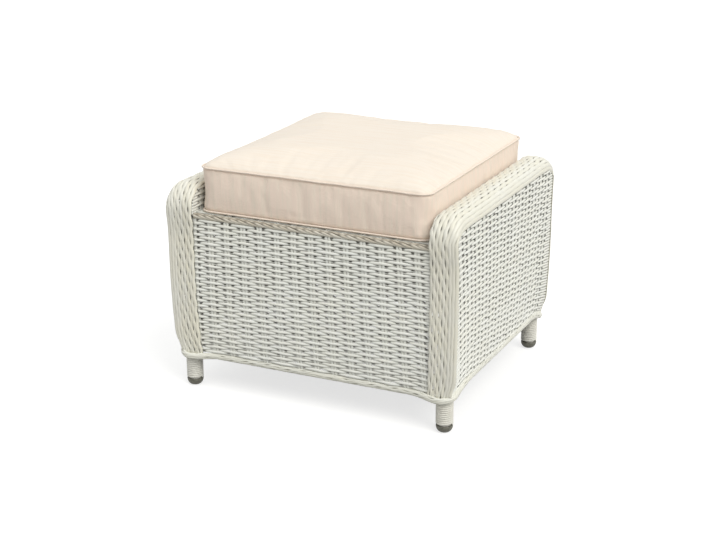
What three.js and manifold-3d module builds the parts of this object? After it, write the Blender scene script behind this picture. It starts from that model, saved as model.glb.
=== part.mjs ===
import * as THREE from 'three';
import Module from 'manifold-3d';
import { mergeVertices } from 'three/addons/utils/BufferGeometryUtils.js';

// Outdoor ottoman footstool: a woven body on an aluminium tube frame, with an arm at each side
// and a loose box cushion between the arms. Millimetres. X runs across, the front is at -Y and
// Z is up from the floor. The origin is on the floor under the middle of the body.

// Driving sizes
const bodyHalfWidth = 296.9; // to the woven sides, where they bulge most
const bodyHalfDepth = 255.5; // to the woven bands, where they bulge most
const rimTop = 358; // top of the front and back borders, and of the seat deck
const armRise = 56; // crown of the woven arm above the rim
const armWidth = 53.5; // across the arm and its band
const legInsetX = 31.9; // from the widest part of the body to the middle of a leg
const legInsetY = 25.5;
const cushionSideGap = 5.9; // between the piping and an arm, where the arms bulge most
const cushionFaceInset = 13; // from the bands back to the piping, at the front and the back
const seamRise = 87; // upper piping above the rim
const cushionCrown = 31; // rise of the top panel above its seam
const frameTubeRadius = 12.5; // legs and arms are one bent tube at each side
const tubeWall = 1.5;
const weaveThickness = 4.5; // a woven skin, over its crossing strands
const fit = 0.3; // clearance between pieces that touch

// Shape of the body, seen from the front and from the side
const widthBulgeHeight = 290;
const widthDrawIn = 11; // how far the sides draw in at the floor
const depthBulgeHeight = 230;
const depthDrawIn = 14.6;
const sidePower = 2.2;
const facePower = 2;
const armFlare = 5; // the bands lean forward near the arm tops
const flareStartDrop = 104; // below the arm top
const flareEndDrop = 49;
const panelRecess = 5; // front and back panels lie behind the bands
const armCornerRadius = 50; // of the arm, seen from the side
const outerDrop = 28; // the band wraps this far down the outside of the arm
const innerDrop = 10; // and this far down the inside
const faceDrop = 5; // and rounds back this far at its edges on the front and back
const crownShare = 0.45; // of the arm's width, from its inner edge to its crown

// Shape of the cushion, seen from above
const cushionCornerRadius = 26;
const pipingRadius = 3;
const clothThickness = 1.2;

const armTop = rimTop + armRise;
const legX = bodyHalfWidth - legInsetX;
const legY = bodyHalfDepth - legInsetY;
const cushionHalfWidth = bodyHalfWidth - armWidth - cushionSideGap; // outside the piping
const cushionHalfDepth = bodyHalfDepth - cushionFaceInset;
const cushionTopSeam = rimTop + seamRise;
const half = 0.5;
const mirrorSigns = [-1, 1];
const quarterTurn = Math.PI / 2;
const fullTurn = Math.PI * 2;

const lerp = THREE.MathUtils.lerp;
const smooth = THREE.MathUtils.smoothstep;
const clamp = THREE.MathUtils.clamp;
const at = (x, y, z) => new THREE.Vector3(x, y, z);

// Half width of the woven sides and half depth of the woven faces, at a height.
const halfWidthAt = (z) =>
  bodyHalfWidth - widthDrawIn * Math.abs((widthBulgeHeight - z) / widthBulgeHeight) ** sidePower;
const halfDepthAt = (z) =>
  bodyHalfDepth - depthDrawIn * (Math.max(0, depthBulgeHeight - z) / depthBulgeHeight) ** facePower;
const bandDepthAt = (z) =>
  halfDepthAt(z) + armFlare * smooth(z, armTop - flareStartDrop, armTop - flareEndDrop);
const panelDepthAt = (z) => halfDepthAt(z) - panelRecess;
const armInnerAt = (z) => halfWidthAt(z) - armWidth;

// A closed body from points and triangles. Its faces are turned outwards where they point in.
function solid(points, faces) {
  const spun = new THREE.Vector3();
  const volume = faces.reduce(
    (sum, [a, b, c]) => sum + points[a].dot(spun.crossVectors(points[b], points[c])),
    0,
  );
  const corners = faces.flatMap(([a, b, c]) => (volume < 0 ? [a, c, b] : [a, b, c]));
  const geometry = new THREE.BufferGeometry();
  const position = new Float32Array(points.flatMap((p) => [p.x, p.y, p.z]));
  geometry.setAttribute('position', new THREE.BufferAttribute(position, 3));
  geometry.setIndex(corners);
  geometry.computeVertexNormals();
  return geometry;
}

// The four edges of a grid of point numbers, one after the other round its rim.
function rimRuns(grid) {
  const right = grid.map((row) => row[row.length - 1]);
  const left = grid.map((row) => row[0]).reverse();
  const head = [...grid[grid.length - 1]].reverse();
  return [grid[0], right, head, left];
}

// Triangles between two runs of points side by side. Each step goes on in the run that gives the
// shorter cross line.
function stitch(points, first, second) {
  const faces = [];
  const span = (a, b) => (a === undefined || b === undefined ? Infinity : points[a].distanceTo(points[b]));
  let i = 0;
  let j = 0;
  while (i < first.length - 1 || j < second.length - 1) {
    if (span(first[i + 1], second[j]) <= span(first[i], second[j + 1])) {
      faces.push([first[i], first[i + 1], second[j]]);
      i += 1;
    } else {
      faces.push([first[i], second[j + 1], second[j]]);
      j += 1;
    }
  }
  return faces;
}

// Two triangles for each cell of a grid of point numbers.
function sheet(grid) {
  return grid.slice(1).flatMap((row, j) =>
    row.slice(1).flatMap((corner, i) => [
      [grid[j][i], grid[j][i + 1], corner],
      [grid[j][i], corner, row[i]],
    ]),
  );
}

// A skin between two grids of points, outside and inside, closed round its four edges. Where the
// outside has a relief, it keeps only its rim, and the relief's finer grid fills the rest.
function skin(columns, rows, outsideAt, insideAt, relief) {
  const points = [];
  const gridOf = (across, up, pointAt) =>
    Array.from({ length: up + 1 }, (_, j) =>
      Array.from({ length: across + 1 }, (_, i) => {
        const point = pointAt(i, j);
        return point && points.push(point) - 1;
      }),
    );
  const onRim = (i, j) => i === 0 || j === 0 || i === columns || j === rows;
  const outside = gridOf(columns, rows, (i, j) => (relief && !onRim(i, j) ? null : outsideAt(i, j)));
  const inside = gridOf(columns, rows, insideAt);
  const filled = relief ? gridOf(relief.columns, relief.rows, relief.pointAt) : outside;
  const faces = [...sheet(filled), ...sheet(inside).map(([a, b, c]) => [a, c, b])];
  rimRuns(outside).forEach((run, edge) => {
    faces.push(...stitch(points, rimRuns(inside)[edge], run));
    if (relief) faces.push(...stitch(points, run, rimRuns(filled)[edge]));
  });
  return solid(points, faces);
}

// A body through rings of equal count. An open run is capped; a loop joins its last ring to its first.
function loft(rings, loop = false) {
  const count = rings[0].length;
  const points = rings.flat();
  const faces = [];
  const spans = loop ? rings.length : rings.length - 1;
  for (let k = 0; k < spans; k++) {
    const next = (k + 1) % rings.length;
    for (let i = 0; i < count; i++) {
      const j = (i + 1) % count;
      faces.push([k * count + i, k * count + j, next * count + j]);
      faces.push([k * count + i, next * count + j, next * count + i]);
    }
  }
  if (!loop) {
    for (const k of [0, rings.length - 1]) {
      const middle = rings[k].reduce((sum, p) => sum.add(p), at(0, 0, 0)).divideScalar(count);
      const centre = points.push(middle) - 1;
      for (let i = 0; i < count; i++) {
        const pair = [k * count + i, k * count + ((i + 1) % count)];
        faces.push(k === 0 ? [centre, pair[1], pair[0]] : [centre, ...pair]);
      }
    }
  }
  return solid(points, faces);
}

// Offsets of a round or oval section, as pairs across and up.
function ovalSection(across, up, sides) {
  return Array.from({ length: sides }, (_, i) => {
    const angle = ((i + half) / sides) * fullTurn;
    return [across * Math.cos(angle), up * Math.sin(angle)];
  });
}

// Rings of a section carried along a path that stays in or near the plane square to `plane`.
function ringsAlong(path, section, plane, loop = false) {
  return path.map((point, k) => {
    const before = path[loop ? (k + path.length - 1) % path.length : Math.max(0, k - 1)];
    const after = path[loop ? (k + 1) % path.length : Math.min(path.length - 1, k + 1)];
    const along = after.clone().sub(before).projectOnPlane(plane).normalize();
    const across = plane.clone().cross(along);
    return section.map(([a, b]) => point.clone().addScaledVector(across, a).addScaledVector(plane, b));
  });
}

// A tube along a path, open at both ends.
function pipe(path, radius, wall, sides, plane) {
  const outside = ringsAlong(path, ovalSection(radius, radius, sides), plane);
  const inside = ringsAlong(path, ovalSection(radius - wall, radius - wall, sides), plane);
  return loft([...outside, ...inside.reverse()], true);
}

const group = new THREE.Group();

function add(name, geometry, material) {
  const mesh = new THREE.Mesh(geometry, material);
  mesh.name = name;
  group.add(mesh);
  return mesh;
}

function finish(color, roughness, metalness = 0, flatShading = false) {
  return () => new THREE.MeshStandardMaterial({ color, roughness, metalness, flatShading });
}

const wicker = finish(0xece8da, 0.5);
const weave = finish(0xece8da, 0.5, 0, true); // flat shading keeps its relief visible
const framePaint = finish(0xf0efe9, 0.45, 0.3);
const glidePlastic = finish(0x6b675a, 0.55);
const cushionCloth = finish(0xf7efe2, 0.9);
const cushionFoam = finish(0xf3eed8, 0.95);
const zipPlastic = finish(0xefe6d6, 0.5);
const zipMetal = finish(0xc9c9c6, 0.35, 0.9);

// Side hoops. One tube at each side is both legs and the arm between them.
const hoopBendRadius = 40;
const hoopSides = 10;
const bendSteps = 5;
const tubeEnd = 14; // the tube stops on the shoulder of the glide
const hoopTop = armTop - weaveThickness - fit - frameTubeRadius;

function hoopPath(x) {
  const bendY = legY - hoopBendRadius;
  const bendZ = hoopTop - hoopBendRadius;
  const front = [at(x, -legY, tubeEnd)];
  for (let k = 0; k <= bendSteps; k++) {
    const angle = (k / bendSteps) * quarterTurn;
    const y = -bendY - hoopBendRadius * Math.cos(angle);
    front.push(at(x, y, bendZ + hoopBendRadius * Math.sin(angle)));
  }
  const back = front.map((p) => at(p.x, -p.y, p.z)).reverse();
  return [...front, ...back];
}

// Bottom border, rolled round the foot of the weave. It dips and swells out round each leg.
const borderHeight = 13;
const borderDepth = 9;
const borderProud = 1.5;
const frontBorderMiddleZ = 70.5;
const sideBorderMiddleZ = 88.5;
const borderLegZ = 66;
const frontDipReach = 65; // from the middle of a leg to where the dip starts
const sideDipReach = 65;
const sideDipPast = 40; // beyond the middle of a leg, where the dip ends
const borderClearance = 1.2; // below the edge of the weave, which follows the dip
const borderSides = 8;
const sideSpans = 5;
const dipSpans = 5;
const wrapThickness = 2.8;
const wrapStrandRadius = 14.7; // middle of the strand round the leg
const wrapRadius = wrapStrandRadius + wrapThickness / 2;
const borderLegX = legX + wrapRadius + fit + borderDepth / 2;
const borderLegY = legY + wrapRadius + fit + borderDepth / 2;
const borderCornerRadius = wrapRadius + fit + borderDepth / 2;
const frontDipStart = legX - frontDipReach;
const sideDipStart = legY - sideDipReach;

const frontDip = (x) => smooth(Math.abs(x), frontDipStart, legX);
const sideDip = (y) => smooth(Math.abs(y), sideDipStart, legY + sideDipPast);
const sideSwell = (y) => smooth(Math.abs(y), sideDipStart, legY);
const frontBorderZ = (x) => lerp(frontBorderMiddleZ, borderLegZ, frontDip(x));
const sideBorderZ = (y) => lerp(sideBorderMiddleZ, borderLegZ, sideDip(y));
const weaveEdge = borderHeight / 2 + borderClearance;

// Past the leg the border climbs round the corner, from its height at the front to that at the side.
const cornerBorderZ = (turn) => lerp(borderLegZ, sideBorderZ(legY), turn / quarterTurn);
function footBorderZ(x) {
  const past = clamp((Math.abs(x) - legX) / borderCornerRadius, 0, 1);
  return past > 0 ? cornerBorderZ(Math.asin(past)) : frontBorderZ(x);
}

// Near the legs the foot of the sides and of the bands is drawn in, to meet the border round the leg.
const footTuck = 6;
const tuckRise = 45;
const tuckReach = 80; // from the middle of a leg
function tuckAt(y, z) {
  const near = smooth(Math.abs(y), legY - tuckReach, legY);
  return footTuck * near * (1 - clamp((z - borderLegZ - weaveEdge) / tuckRise, 0, 1));
}

// Relief of a plain weave. Each row passes in front of every other stake, and the rows next to it
// pass in front of the stakes between. Where a row passes behind, the weave lies deeper.
const rowPitch = 5.5;
const rowRise = 2; // lowest row above the edge of the weave
const firstRowRise = weaveEdge + rowRise;
const reliefDepth = 2.2;

// The grid of a weave's crossings. Stakes stand `gap` apart, shifted by a share of the gap, and keep
// clear of both ends. The lower rows follow the border down to the legs.
function weaveRelief(gap, shiftShare, reach, top, firstBehind, borderZ, surfaceAt) {
  const stakesEachWay = Math.floor((reach - rowPitch) / gap + shiftShare);
  const columns = 2 * (stakesEachWay - shiftShare);
  const middleZ = borderZ(0);
  const firstRowZ = middleZ + firstRowRise;
  const rows = Math.floor((top - firstRowZ) / rowPitch - half) - 1;
  const pointAt = (i, j) => {
    const place = (i - columns / 2) * gap;
    const level = firstRowZ + (j + 1) * rowPitch;
    const dip = (borderZ(place) - middleZ) * ((top - level) / (top - middleZ)) ** 2;
    return surfaceAt(place, level + dip, ((i + j + firstBehind) % 2) * reliefDepth);
  };
  return { columns, rows, pointAt };
}

// Places of a panel's columns, as shares of its reach: close together where its lower edge dips.
const dipColumns = 4;
function columnShares(dipStart, reach) {
  const right = Array.from({ length: dipColumns + 1 }, (_, k) => lerp(dipStart / reach, 1, k / dipColumns));
  return [...right.map((share) => -share).reverse(), 0, ...right];
}

function borderPath() {
  const faceY = panelDepthAt(frontBorderMiddleZ) + borderProud - borderDepth / 2;
  const sideX = halfWidthAt(sideBorderMiddleZ) + borderProud - borderDepth / 2;
  const frontStops = [0];
  for (let k = 0; k <= dipSpans; k++) frontStops.push(lerp(frontDipStart, legX, k / dipSpans));
  const quarter = frontStops.map((x) =>
    at(x, -lerp(faceY, borderLegY, frontDip(x)), frontBorderZ(x)),
  );
  for (let k = 1; k < bendSteps; k++) {
    const angle = (k / bendSteps) * quarterTurn;
    const x = legX + borderCornerRadius * Math.sin(angle);
    quarter.push(at(x, -legY - borderCornerRadius * Math.cos(angle), cornerBorderZ(angle)));
  }
  for (let k = 0; k <= sideSpans; k++) {
    const y = lerp(legY, sideDipStart, k / sideSpans);
    quarter.push(at(lerp(sideX, borderLegX, sideSwell(y)), -y, sideBorderZ(y)));
  }
  quarter.push(at(sideX, 0, sideBorderMiddleZ));
  const right = [...quarter, ...quarter.slice(0, -1).map((p) => at(p.x, -p.y, p.z)).reverse()];
  return [...right, ...right.slice(1, -1).map((p) => at(-p.x, p.y, p.z)).reverse()];
}

add(
  'bottom_border',
  loft(
    ringsAlong(
      borderPath(),
      ovalSection(borderDepth / 2, borderHeight / 2, borderSides),
      at(0, 0, 1),
      true,
    ),
    true,
  ),
  wicker(),
);

// Leg windings: one strand wound round each leg, from the glide up to the bottom border.
const wrapPitch = 4.8;
const wrapStrandHeight = 4.2;
const wrapLoops = 11;
const wrapSteps = 9; // steps in a loop
const wrapStart = tubeEnd + fit + wrapStrandHeight / 2;

function windingRings() {
  const section = [
    [-wrapThickness / 2, -wrapStrandHeight / 2],
    [wrapThickness / 2, -wrapStrandHeight / 2],
    [wrapThickness / 2, wrapStrandHeight / 2],
    [-wrapThickness / 2, wrapStrandHeight / 2],
  ];
  const last = wrapLoops * wrapSteps;
  const rings = [];
  for (let k = 0; k <= last; k++) {
    const angle = (k / wrapSteps) * fullTurn;
    const height = wrapStart + (k / wrapSteps) * wrapPitch;
    const outward = at(Math.cos(angle), Math.sin(angle), 0);
    const along = at(-Math.sin(angle), Math.cos(angle), 0);
    const ringAt = (shift) =>
      section.map(([a, b]) =>
        outward
          .clone()
          .multiplyScalar(wrapStrandRadius + a)
          .addScaledVector(along, shift)
          .add(at(0, 0, height + b)),
      );
    if (k === 0) rings.push(ringAt(-wrapStrandHeight));
    rings.push(ringAt(0));
    if (k === last) rings.push(ringAt(wrapStrandHeight));
  }
  return rings;
}

// Least distance between stretches of the winding that are more than half a loop apart.
function leastGap(rings) {
  const halfLoop = wrapSteps / 2;
  let least = Infinity;
  rings.forEach((ring, k) => {
    for (const other of rings.slice(k + halfLoop)) {
      for (const p of ring) {
        for (const q of other) least = Math.min(least, p.distanceTo(q));
      }
    }
  });
  return least;
}

const winding = windingRings();
console.log(`least gap in a leg winding: ${leastGap(winding).toFixed(2)} mm`);

// Glides: a plastic plug in each tube end, with a domed foot that ends in a small flat.
const glideFlatRadius = 7;
const glideEdgeHeight = 9;
const glideShoulder = tubeEnd - fit;
const glidePlugTop = 30;
const glideSides = 16;
const domeSteps = 4;

function glideGeometry() {
  const profile = [new THREE.Vector2(0, 0)];
  for (let k = 0; k <= domeSteps; k++) {
    const angle = (k / domeSteps) * quarterTurn;
    profile.push(
      new THREE.Vector2(
        lerp(glideFlatRadius, wrapRadius, Math.sin(angle)),
        lerp(glideEdgeHeight, 0, Math.cos(angle)),
      ),
    );
  }
  const plugRadius = frameTubeRadius * Math.cos(Math.PI / hoopSides) - tubeWall - fit;
  profile.push(new THREE.Vector2(wrapRadius, glideShoulder));
  profile.push(new THREE.Vector2(plugRadius, glideShoulder));
  profile.push(new THREE.Vector2(plugRadius, glidePlugTop));
  profile.push(new THREE.Vector2(0, glidePlugTop));
  const turned = new THREE.LatheGeometry(profile, glideSides).rotateX(quarterTurn);
  turned.deleteAttribute('normal');
  turned.deleteAttribute('uv');
  return mergeVertices(turned);
}

for (const sideSign of mirrorSigns) {
  const side = sideSign < 0 ? 'left' : 'right';
  const hoop = pipe(hoopPath(sideSign * legX), frameTubeRadius, tubeWall, hoopSides, at(1, 0, 0));
  add(`side_hoop_${side}`, hoop, framePaint());
  for (const endSign of mirrorSigns) {
    const end = endSign < 0 ? 'front' : 'back';
    const wrap = add(`leg_winding_${end}_${side}`, loft(winding), wicker());
    wrap.position.set(sideSign * legX, endSign * legY, 0);
    const glide = add(`glide_${end}_${side}`, glideGeometry(), glidePlastic());
    glide.position.set(sideSign * legX, endSign * legY, 0);
  }
}

// Rails between the hoops. The upper ones carry the seat deck and the lower ones hold the weave.
const railRadius = 11;
const bottomRailRadius = 8;
const bottomRailZ = 95;
const sideRailZ = 106; // above the side border, which lies higher than the front one
const railSides = 10;
const topBorderHeight = 13;
const topBorderDepth = 11;
const topBorderProud = 2;
const deckThickness = 5;
const topRailZ = rimTop - topBorderHeight - fit - railRadius;
const seatRailZ = rimTop - deckThickness - fit - railRadius;
const topRailY = panelDepthAt(topRailZ) - weaveThickness - fit - railRadius;
const bottomRailY = panelDepthAt(bottomRailZ) - weaveThickness - fit - bottomRailRadius;
const sideRailInset = 3; // keeps clear of the drawn-in foot of the sides
const bottomRailX = halfWidthAt(sideRailZ) - sideRailInset - weaveThickness - fit - bottomRailRadius;
const seatRailX = armInnerAt(rimTop) + weaveThickness - railRadius;
const railEndX = legX - frameTubeRadius - fit;
const sideRailOffset = Math.max(0, bottomRailX - bottomRailRadius - legX);
const sideRailEndY = legY - Math.sqrt((frameTubeRadius + fit) ** 2 - sideRailOffset ** 2);
const seatRailEndY = topRailY - railRadius - fit;
const crossBarEndX = seatRailX - railRadius - fit;

function railAcross(y, z, endX, radius) {
  return pipe([at(-endX, y, z), at(endX, y, z)], radius, tubeWall, railSides, at(0, 0, 1));
}

function railAlong(x, z, endY, radius) {
  return pipe([at(x, -endY, z), at(x, endY, z)], radius, tubeWall, railSides, at(0, 0, 1));
}

for (const sign of mirrorSigns) {
  const end = sign < 0 ? 'front' : 'back';
  const side = sign < 0 ? 'left' : 'right';
  add(`top_rail_${end}`, railAcross(sign * topRailY, topRailZ, railEndX, railRadius), framePaint());
  add(
    `bottom_rail_${end}`,
    railAcross(sign * bottomRailY, bottomRailZ, railEndX, bottomRailRadius),
    framePaint(),
  );
  add(
    `bottom_rail_${side}`,
    railAlong(sign * bottomRailX, sideRailZ, sideRailEndY, bottomRailRadius),
    framePaint(),
  );
  add(`seat_rail_${side}`, railAlong(sign * seatRailX, seatRailZ, seatRailEndY, railRadius), framePaint());
}
add('seat_cross_bar', railAcross(0, seatRailZ, crossBarEndX, railRadius), framePaint());

// Arm outline, seen from the side: up the front, round the corner and along the top to the middle.
// A drop along Y and one along Z move it inwards, to the edge of a band or the middle of a rod.
const faceRows = 6;
const armRows = 2 * (faceRows + bendSteps) + 2;
const cornerStartZ = armTop - armCornerRadius;
const cornerY = bandDepthAt(cornerStartZ) - armCornerRadius;

function armOutline(row, bottom, dropY, dropZ) {
  const mirrored = row > armRows / 2;
  const step = mirrored ? armRows - row : row;
  const sign = mirrored ? 1 : -1;
  const bend = step - faceRows;
  if (bend <= 0) {
    const z = lerp(bottom, cornerStartZ, step / faceRows);
    return at(0, sign * (bandDepthAt(z) - dropY), z);
  }
  const angle = Math.min(1, bend / bendSteps) * quarterTurn;
  const y = bend > bendSteps ? 0 : cornerY + (armCornerRadius - dropY) * Math.cos(angle);
  return at(0, sign * y, cornerStartZ + (armCornerRadius - dropZ) * Math.sin(angle));
}

// How far a row is round the corner, from 0 on the face to 1 on the arm top.
function turnShare(row) {
  const step = Math.min(row, armRows - row);
  return THREE.MathUtils.clamp((step - faceRows) / bendSteps, 0, 1);
}

// Woven bands: each runs up the front of an arm, over its top and down the back.
const bandColumns = 8;
const facePlumpness = 5; // squareness of the band's section on the front and back
const topPlumpness = 2; // on the arm top the section is round

function bandPoint(sideSign, column, row, depth) {
  const around = column / bandColumns;
  const inner = around < half;
  const angle = Math.abs(around - half) * Math.PI;
  const power = 2 / lerp(facePlumpness, topPlumpness, turnShare(row));
  const widthShare = Math.sin(angle) ** power;
  const riseShare = Math.max(0, Math.cos(angle)) ** power;
  const edgeX = inner ? armWidth * crownShare : armWidth * (1 - crownShare);
  const fromInner = armWidth * crownShare + (inner ? -1 : 1) * (edgeX - depth) * widthShare;
  const footX = armInnerAt(frontBorderMiddleZ) + fromInner * (1 - footTuck / armWidth);
  const bottom = footBorderZ(footX) + weaveEdge;
  const crown = armOutline(row, bottom, depth, depth);
  const edge = armOutline(row, bottom, faceDrop, inner ? innerDrop : outerDrop);
  const tuck = tuckAt(legY, edge.z) * (fromInner / armWidth);
  const x = armInnerAt(edge.z) + fromInner - tuck;
  return edge.lerp(crown, riseShare).setX(sideSign * x);
}

for (const sign of mirrorSigns) {
  const side = sign < 0 ? 'left' : 'right';
  add(
    `arm_band_${side}`,
    skin(
      bandColumns,
      armRows,
      (i, j) => bandPoint(sign, i, j, 0),
      (i, j) => bandPoint(sign, i, j, weaveThickness),
    ),
    wicker(),
  );
}

// Woven outer sides, from the bottom border up to the lower edge of the band.
const cornerRows = faceRows + bendSteps;
const sideFootReach = bandDepthAt(borderLegZ + weaveEdge) - faceDrop - fit;
const sideShares = columnShares(sideDipStart, sideFootReach);
const sideTop = armTop - outerDrop - fit;
const sideStakeGap = 39;

function sideRelief(sideSign) {
  const firstBehind = sideSign < 0 ? 1 : 0;
  return weaveRelief(sideStakeGap, half, sideFootReach, sideTop, firstBehind, sideBorderZ, (y, z, depth) =>
    at(sideSign * (halfWidthAt(z) - tuckAt(y, z) - depth), y, z),
  );
}

function sidePoint(sideSign, column, row, depth) {
  const reach = -armOutline(row, borderLegZ + weaveEdge, faceDrop + fit, outerDrop + fit).y;
  const y = sideShares[column] * reach;
  const z = armOutline(row, sideBorderZ(y) + weaveEdge, faceDrop + fit, outerDrop + fit).z;
  return at(sideSign * (halfWidthAt(z) - tuckAt(y, z) - depth), y, z);
}

// Woven inner sides of the arms, from the seat deck up to the inner edge of the band.
const innerColumns = 6;
const innerRows = 1 + bendSteps;

function innerPoint(sideSign, column, row, depth) {
  const across = lerp(-1, 1, column / innerColumns);
  const bottom = rimTop - deckThickness;
  const outlineRow = row === 0 ? faceRows : faceRows + row - 1;
  const edge = armOutline(outlineRow, bottom, faceDrop + weaveThickness, innerDrop + fit);
  const z = row === 0 ? bottom : edge.z;
  return at(sideSign * (armInnerAt(z) + depth), across * -edge.y, z);
}

for (const sign of mirrorSigns) {
  const side = sign < 0 ? 'left' : 'right';
  add(
    `outer_weave_${side}`,
    skin(
      sideShares.length - 1,
      cornerRows,
      (i, j) => sidePoint(sign, i, j, 0),
      (i, j) => sidePoint(sign, i, j, weaveThickness),
      sideRelief(sign),
    ),
    weave(),
  );
  add(
    `inner_weave_${side}`,
    skin(
      innerColumns,
      innerRows,
      (i, j) => innerPoint(sign, i, j, 0),
      (i, j) => innerPoint(sign, i, j, weaveThickness),
    ),
    wicker(),
  );
}

// Woven front and back, between the bands, under a rolled top border.
const panelRows = 6;
const panelFootReach = armInnerAt(frontBorderMiddleZ) - fit;
const panelShares = columnShares(frontDipStart, panelFootReach);
const panelStakeGap = 34.7;
const panelTop = rimTop - topBorderHeight - fit;
const topBorderSides = 8;

function panelRelief(endSign) {
  return weaveRelief(panelStakeGap, 0, panelFootReach, panelTop, 1, frontBorderZ, (x, z, depth) =>
    at(x, endSign * (panelDepthAt(z) - depth), z),
  );
}

function panelPoint(endSign, column, row, depth) {
  const share = panelShares[column];
  const bottom = frontBorderZ(share * armInnerAt(frontBorderMiddleZ)) + weaveEdge;
  const z = lerp(bottom, panelTop, row / panelRows);
  return at(share * (armInnerAt(z) - fit), endSign * (panelDepthAt(z) - depth), z);
}

function topBorderGeometry(endSign) {
  const z = rimTop - topBorderHeight / 2;
  const y = endSign * (panelDepthAt(z) + topBorderProud - topBorderDepth / 2);
  const endX = armInnerAt(z) - fit;
  const section = ovalSection(topBorderDepth / 2, topBorderHeight / 2, topBorderSides);
  return loft(ringsAlong([at(-endX, y, z), at(endX, y, z)], section, at(0, 0, 1)));
}

for (const sign of mirrorSigns) {
  const end = sign < 0 ? 'front' : 'back';
  add(
    `${end}_weave`,
    skin(
      panelShares.length - 1,
      panelRows,
      (i, j) => panelPoint(sign, i, j, 0),
      (i, j) => panelPoint(sign, i, j, weaveThickness),
      panelRelief(sign),
    ),
    weave(),
  );
  add(`top_border_${end}`, topBorderGeometry(sign), wicker());
}

// Edge rods: thin rods that hold the edges of each band apart, inside the arm.
const rodRadius = 2.5;
const rodSides = 4;
const innerRodDrop = 30; // passes under the arm tube
const rodFaceDrop = faceDrop + fit + rodRadius;

function rodGeometry(xAt, dropZ) {
  const path = [];
  for (let row = 1; row < armRows; row++) {
    const point = armOutline(row, borderLegZ + weaveEdge, rodFaceDrop, dropZ);
    if (row !== armRows / 2) path.push(point.setX(xAt(point.z)));
  }
  return loft(ringsAlong(path, ovalSection(rodRadius, rodRadius, rodSides), at(1, 0, 0)));
}

for (const sign of mirrorSigns) {
  const side = sign < 0 ? 'left' : 'right';
  const inset = weaveThickness + fit + rodRadius;
  const outerX = (z) => sign * (halfWidthAt(z) - inset);
  const innerX = (z) => sign * (armInnerAt(z) + inset);
  add(`edge_rod_outer_${side}`, rodGeometry(outerX, outerDrop), framePaint());
  add(`edge_rod_inner_${side}`, rodGeometry(innerX, innerRodDrop), framePaint());
}

// Seat deck: a woven sheet on the rails, level with the top borders.
const deckHalfX = armInnerAt(rimTop) - fit;
const deckHalfY = panelDepthAt(rimTop) + topBorderProud - topBorderDepth - fit;
const deck = new THREE.BoxGeometry(deckHalfX * 2, deckHalfY * 2, deckThickness);
deck.deleteAttribute('normal');
deck.deleteAttribute('uv');
add('seat_deck', mergeVertices(deck), wicker()).position.z = rimTop - deckThickness / 2;

// Cushion. Its outline is a rectangle with round corners; every ring has the same count of points,
// so that the panels, the boxing and the foam share their places.
const arcPoints = 5;
const straightPoints = 3;
const sidePoints = arcPoints + straightPoints;
const boxingDrawIn = 3; // the boxing pulls in between its seams
const bottomSeam = rimTop + fit + pipingRadius;
const boxingBottom = bottomSeam + pipingRadius + fit;
const boxingTop = cushionTopSeam - pipingRadius - fit;

function cushionRing(inset, z, share = 1) {
  const hx = (cushionHalfWidth - inset) * share;
  const hy = (cushionHalfDepth - inset) * share;
  const radius = (cushionCornerRadius - inset) * share;
  const corners = [
    [-1, 1],
    [-1, -1],
    [1, -1],
    [1, 1],
  ];
  const arcs = corners.map(([sx, sy], c) =>
    Array.from({ length: arcPoints }, (_, k) => {
      const angle = quarterTurn * (1 + c + k / (arcPoints - 1));
      const x = sx * (hx - radius) + radius * Math.cos(angle);
      return at(x, sy * (hy - radius) + radius * Math.sin(angle), z);
    }),
  );
  return arcs.flatMap((arc, c) => {
    const next = arcs[(c + 1) % corners.length][0];
    const last = arc[arcPoints - 1];
    const straight = Array.from({ length: straightPoints }, (_, k) =>
      last.clone().lerp(next, (k + 1) / (straightPoints + 1)),
    );
    return [...arc, ...straight];
  });
}

// Inset of the boxing at a height: it is flush with the seams and drawn in between them.
function boxingInset(z) {
  const share = (z - boxingBottom) / (boxingTop - boxingBottom);
  return pipingRadius + boxingDrawIn * Math.sin(Math.PI * THREE.MathUtils.clamp(share, 0, 1));
}

// Rise of the top panel above its seam, for a ring at a share of the cushion's size.
const crownSquareness = 6;
const crownFullness = 0.6;
const ringShares = [1, 0.985, 0.95, 0.88, 0.75, 0.5, 0.2];
const crownRise = (share) => cushionCrown * (1 - share ** crownSquareness) ** crownFullness;

const panelInset = 2 * pipingRadius + fit;
const boxingRows = 4;
const foamInset = clothThickness + fit;
const pipingSides = 6;

function pipingGeometry(z) {
  const section = ovalSection(pipingRadius, pipingRadius, pipingSides);
  return loft(ringsAlong(cushionRing(pipingRadius, z), section, at(0, 0, 1), true), true);
}

function crownedRings(inset, seamZ, shares) {
  return shares.map((share) => cushionRing(inset, seamZ + crownRise(share), share));
}

const topPanelSeam = cushionTopSeam - clothThickness / 2;
add(
  'cushion_top_panel',
  loft([
    ...crownedRings(panelInset, topPanelSeam + clothThickness, ringShares).reverse(),
    ...crownedRings(panelInset, topPanelSeam, ringShares),
  ]),
  cushionCloth(),
);

const bottomPanelZ = rimTop + fit;
const bottomShares = [0.3, 1];
add(
  'cushion_bottom_panel',
  loft([
    ...bottomShares.map((share) => cushionRing(panelInset, bottomPanelZ, share)),
    ...bottomShares.map((share) => cushionRing(panelInset, bottomPanelZ + clothThickness, share)).reverse(),
  ]),
  cushionCloth(),
);
add('piping_top', pipingGeometry(cushionTopSeam), cushionCloth());
add('piping_bottom', pipingGeometry(bottomSeam), cushionCloth());

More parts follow.
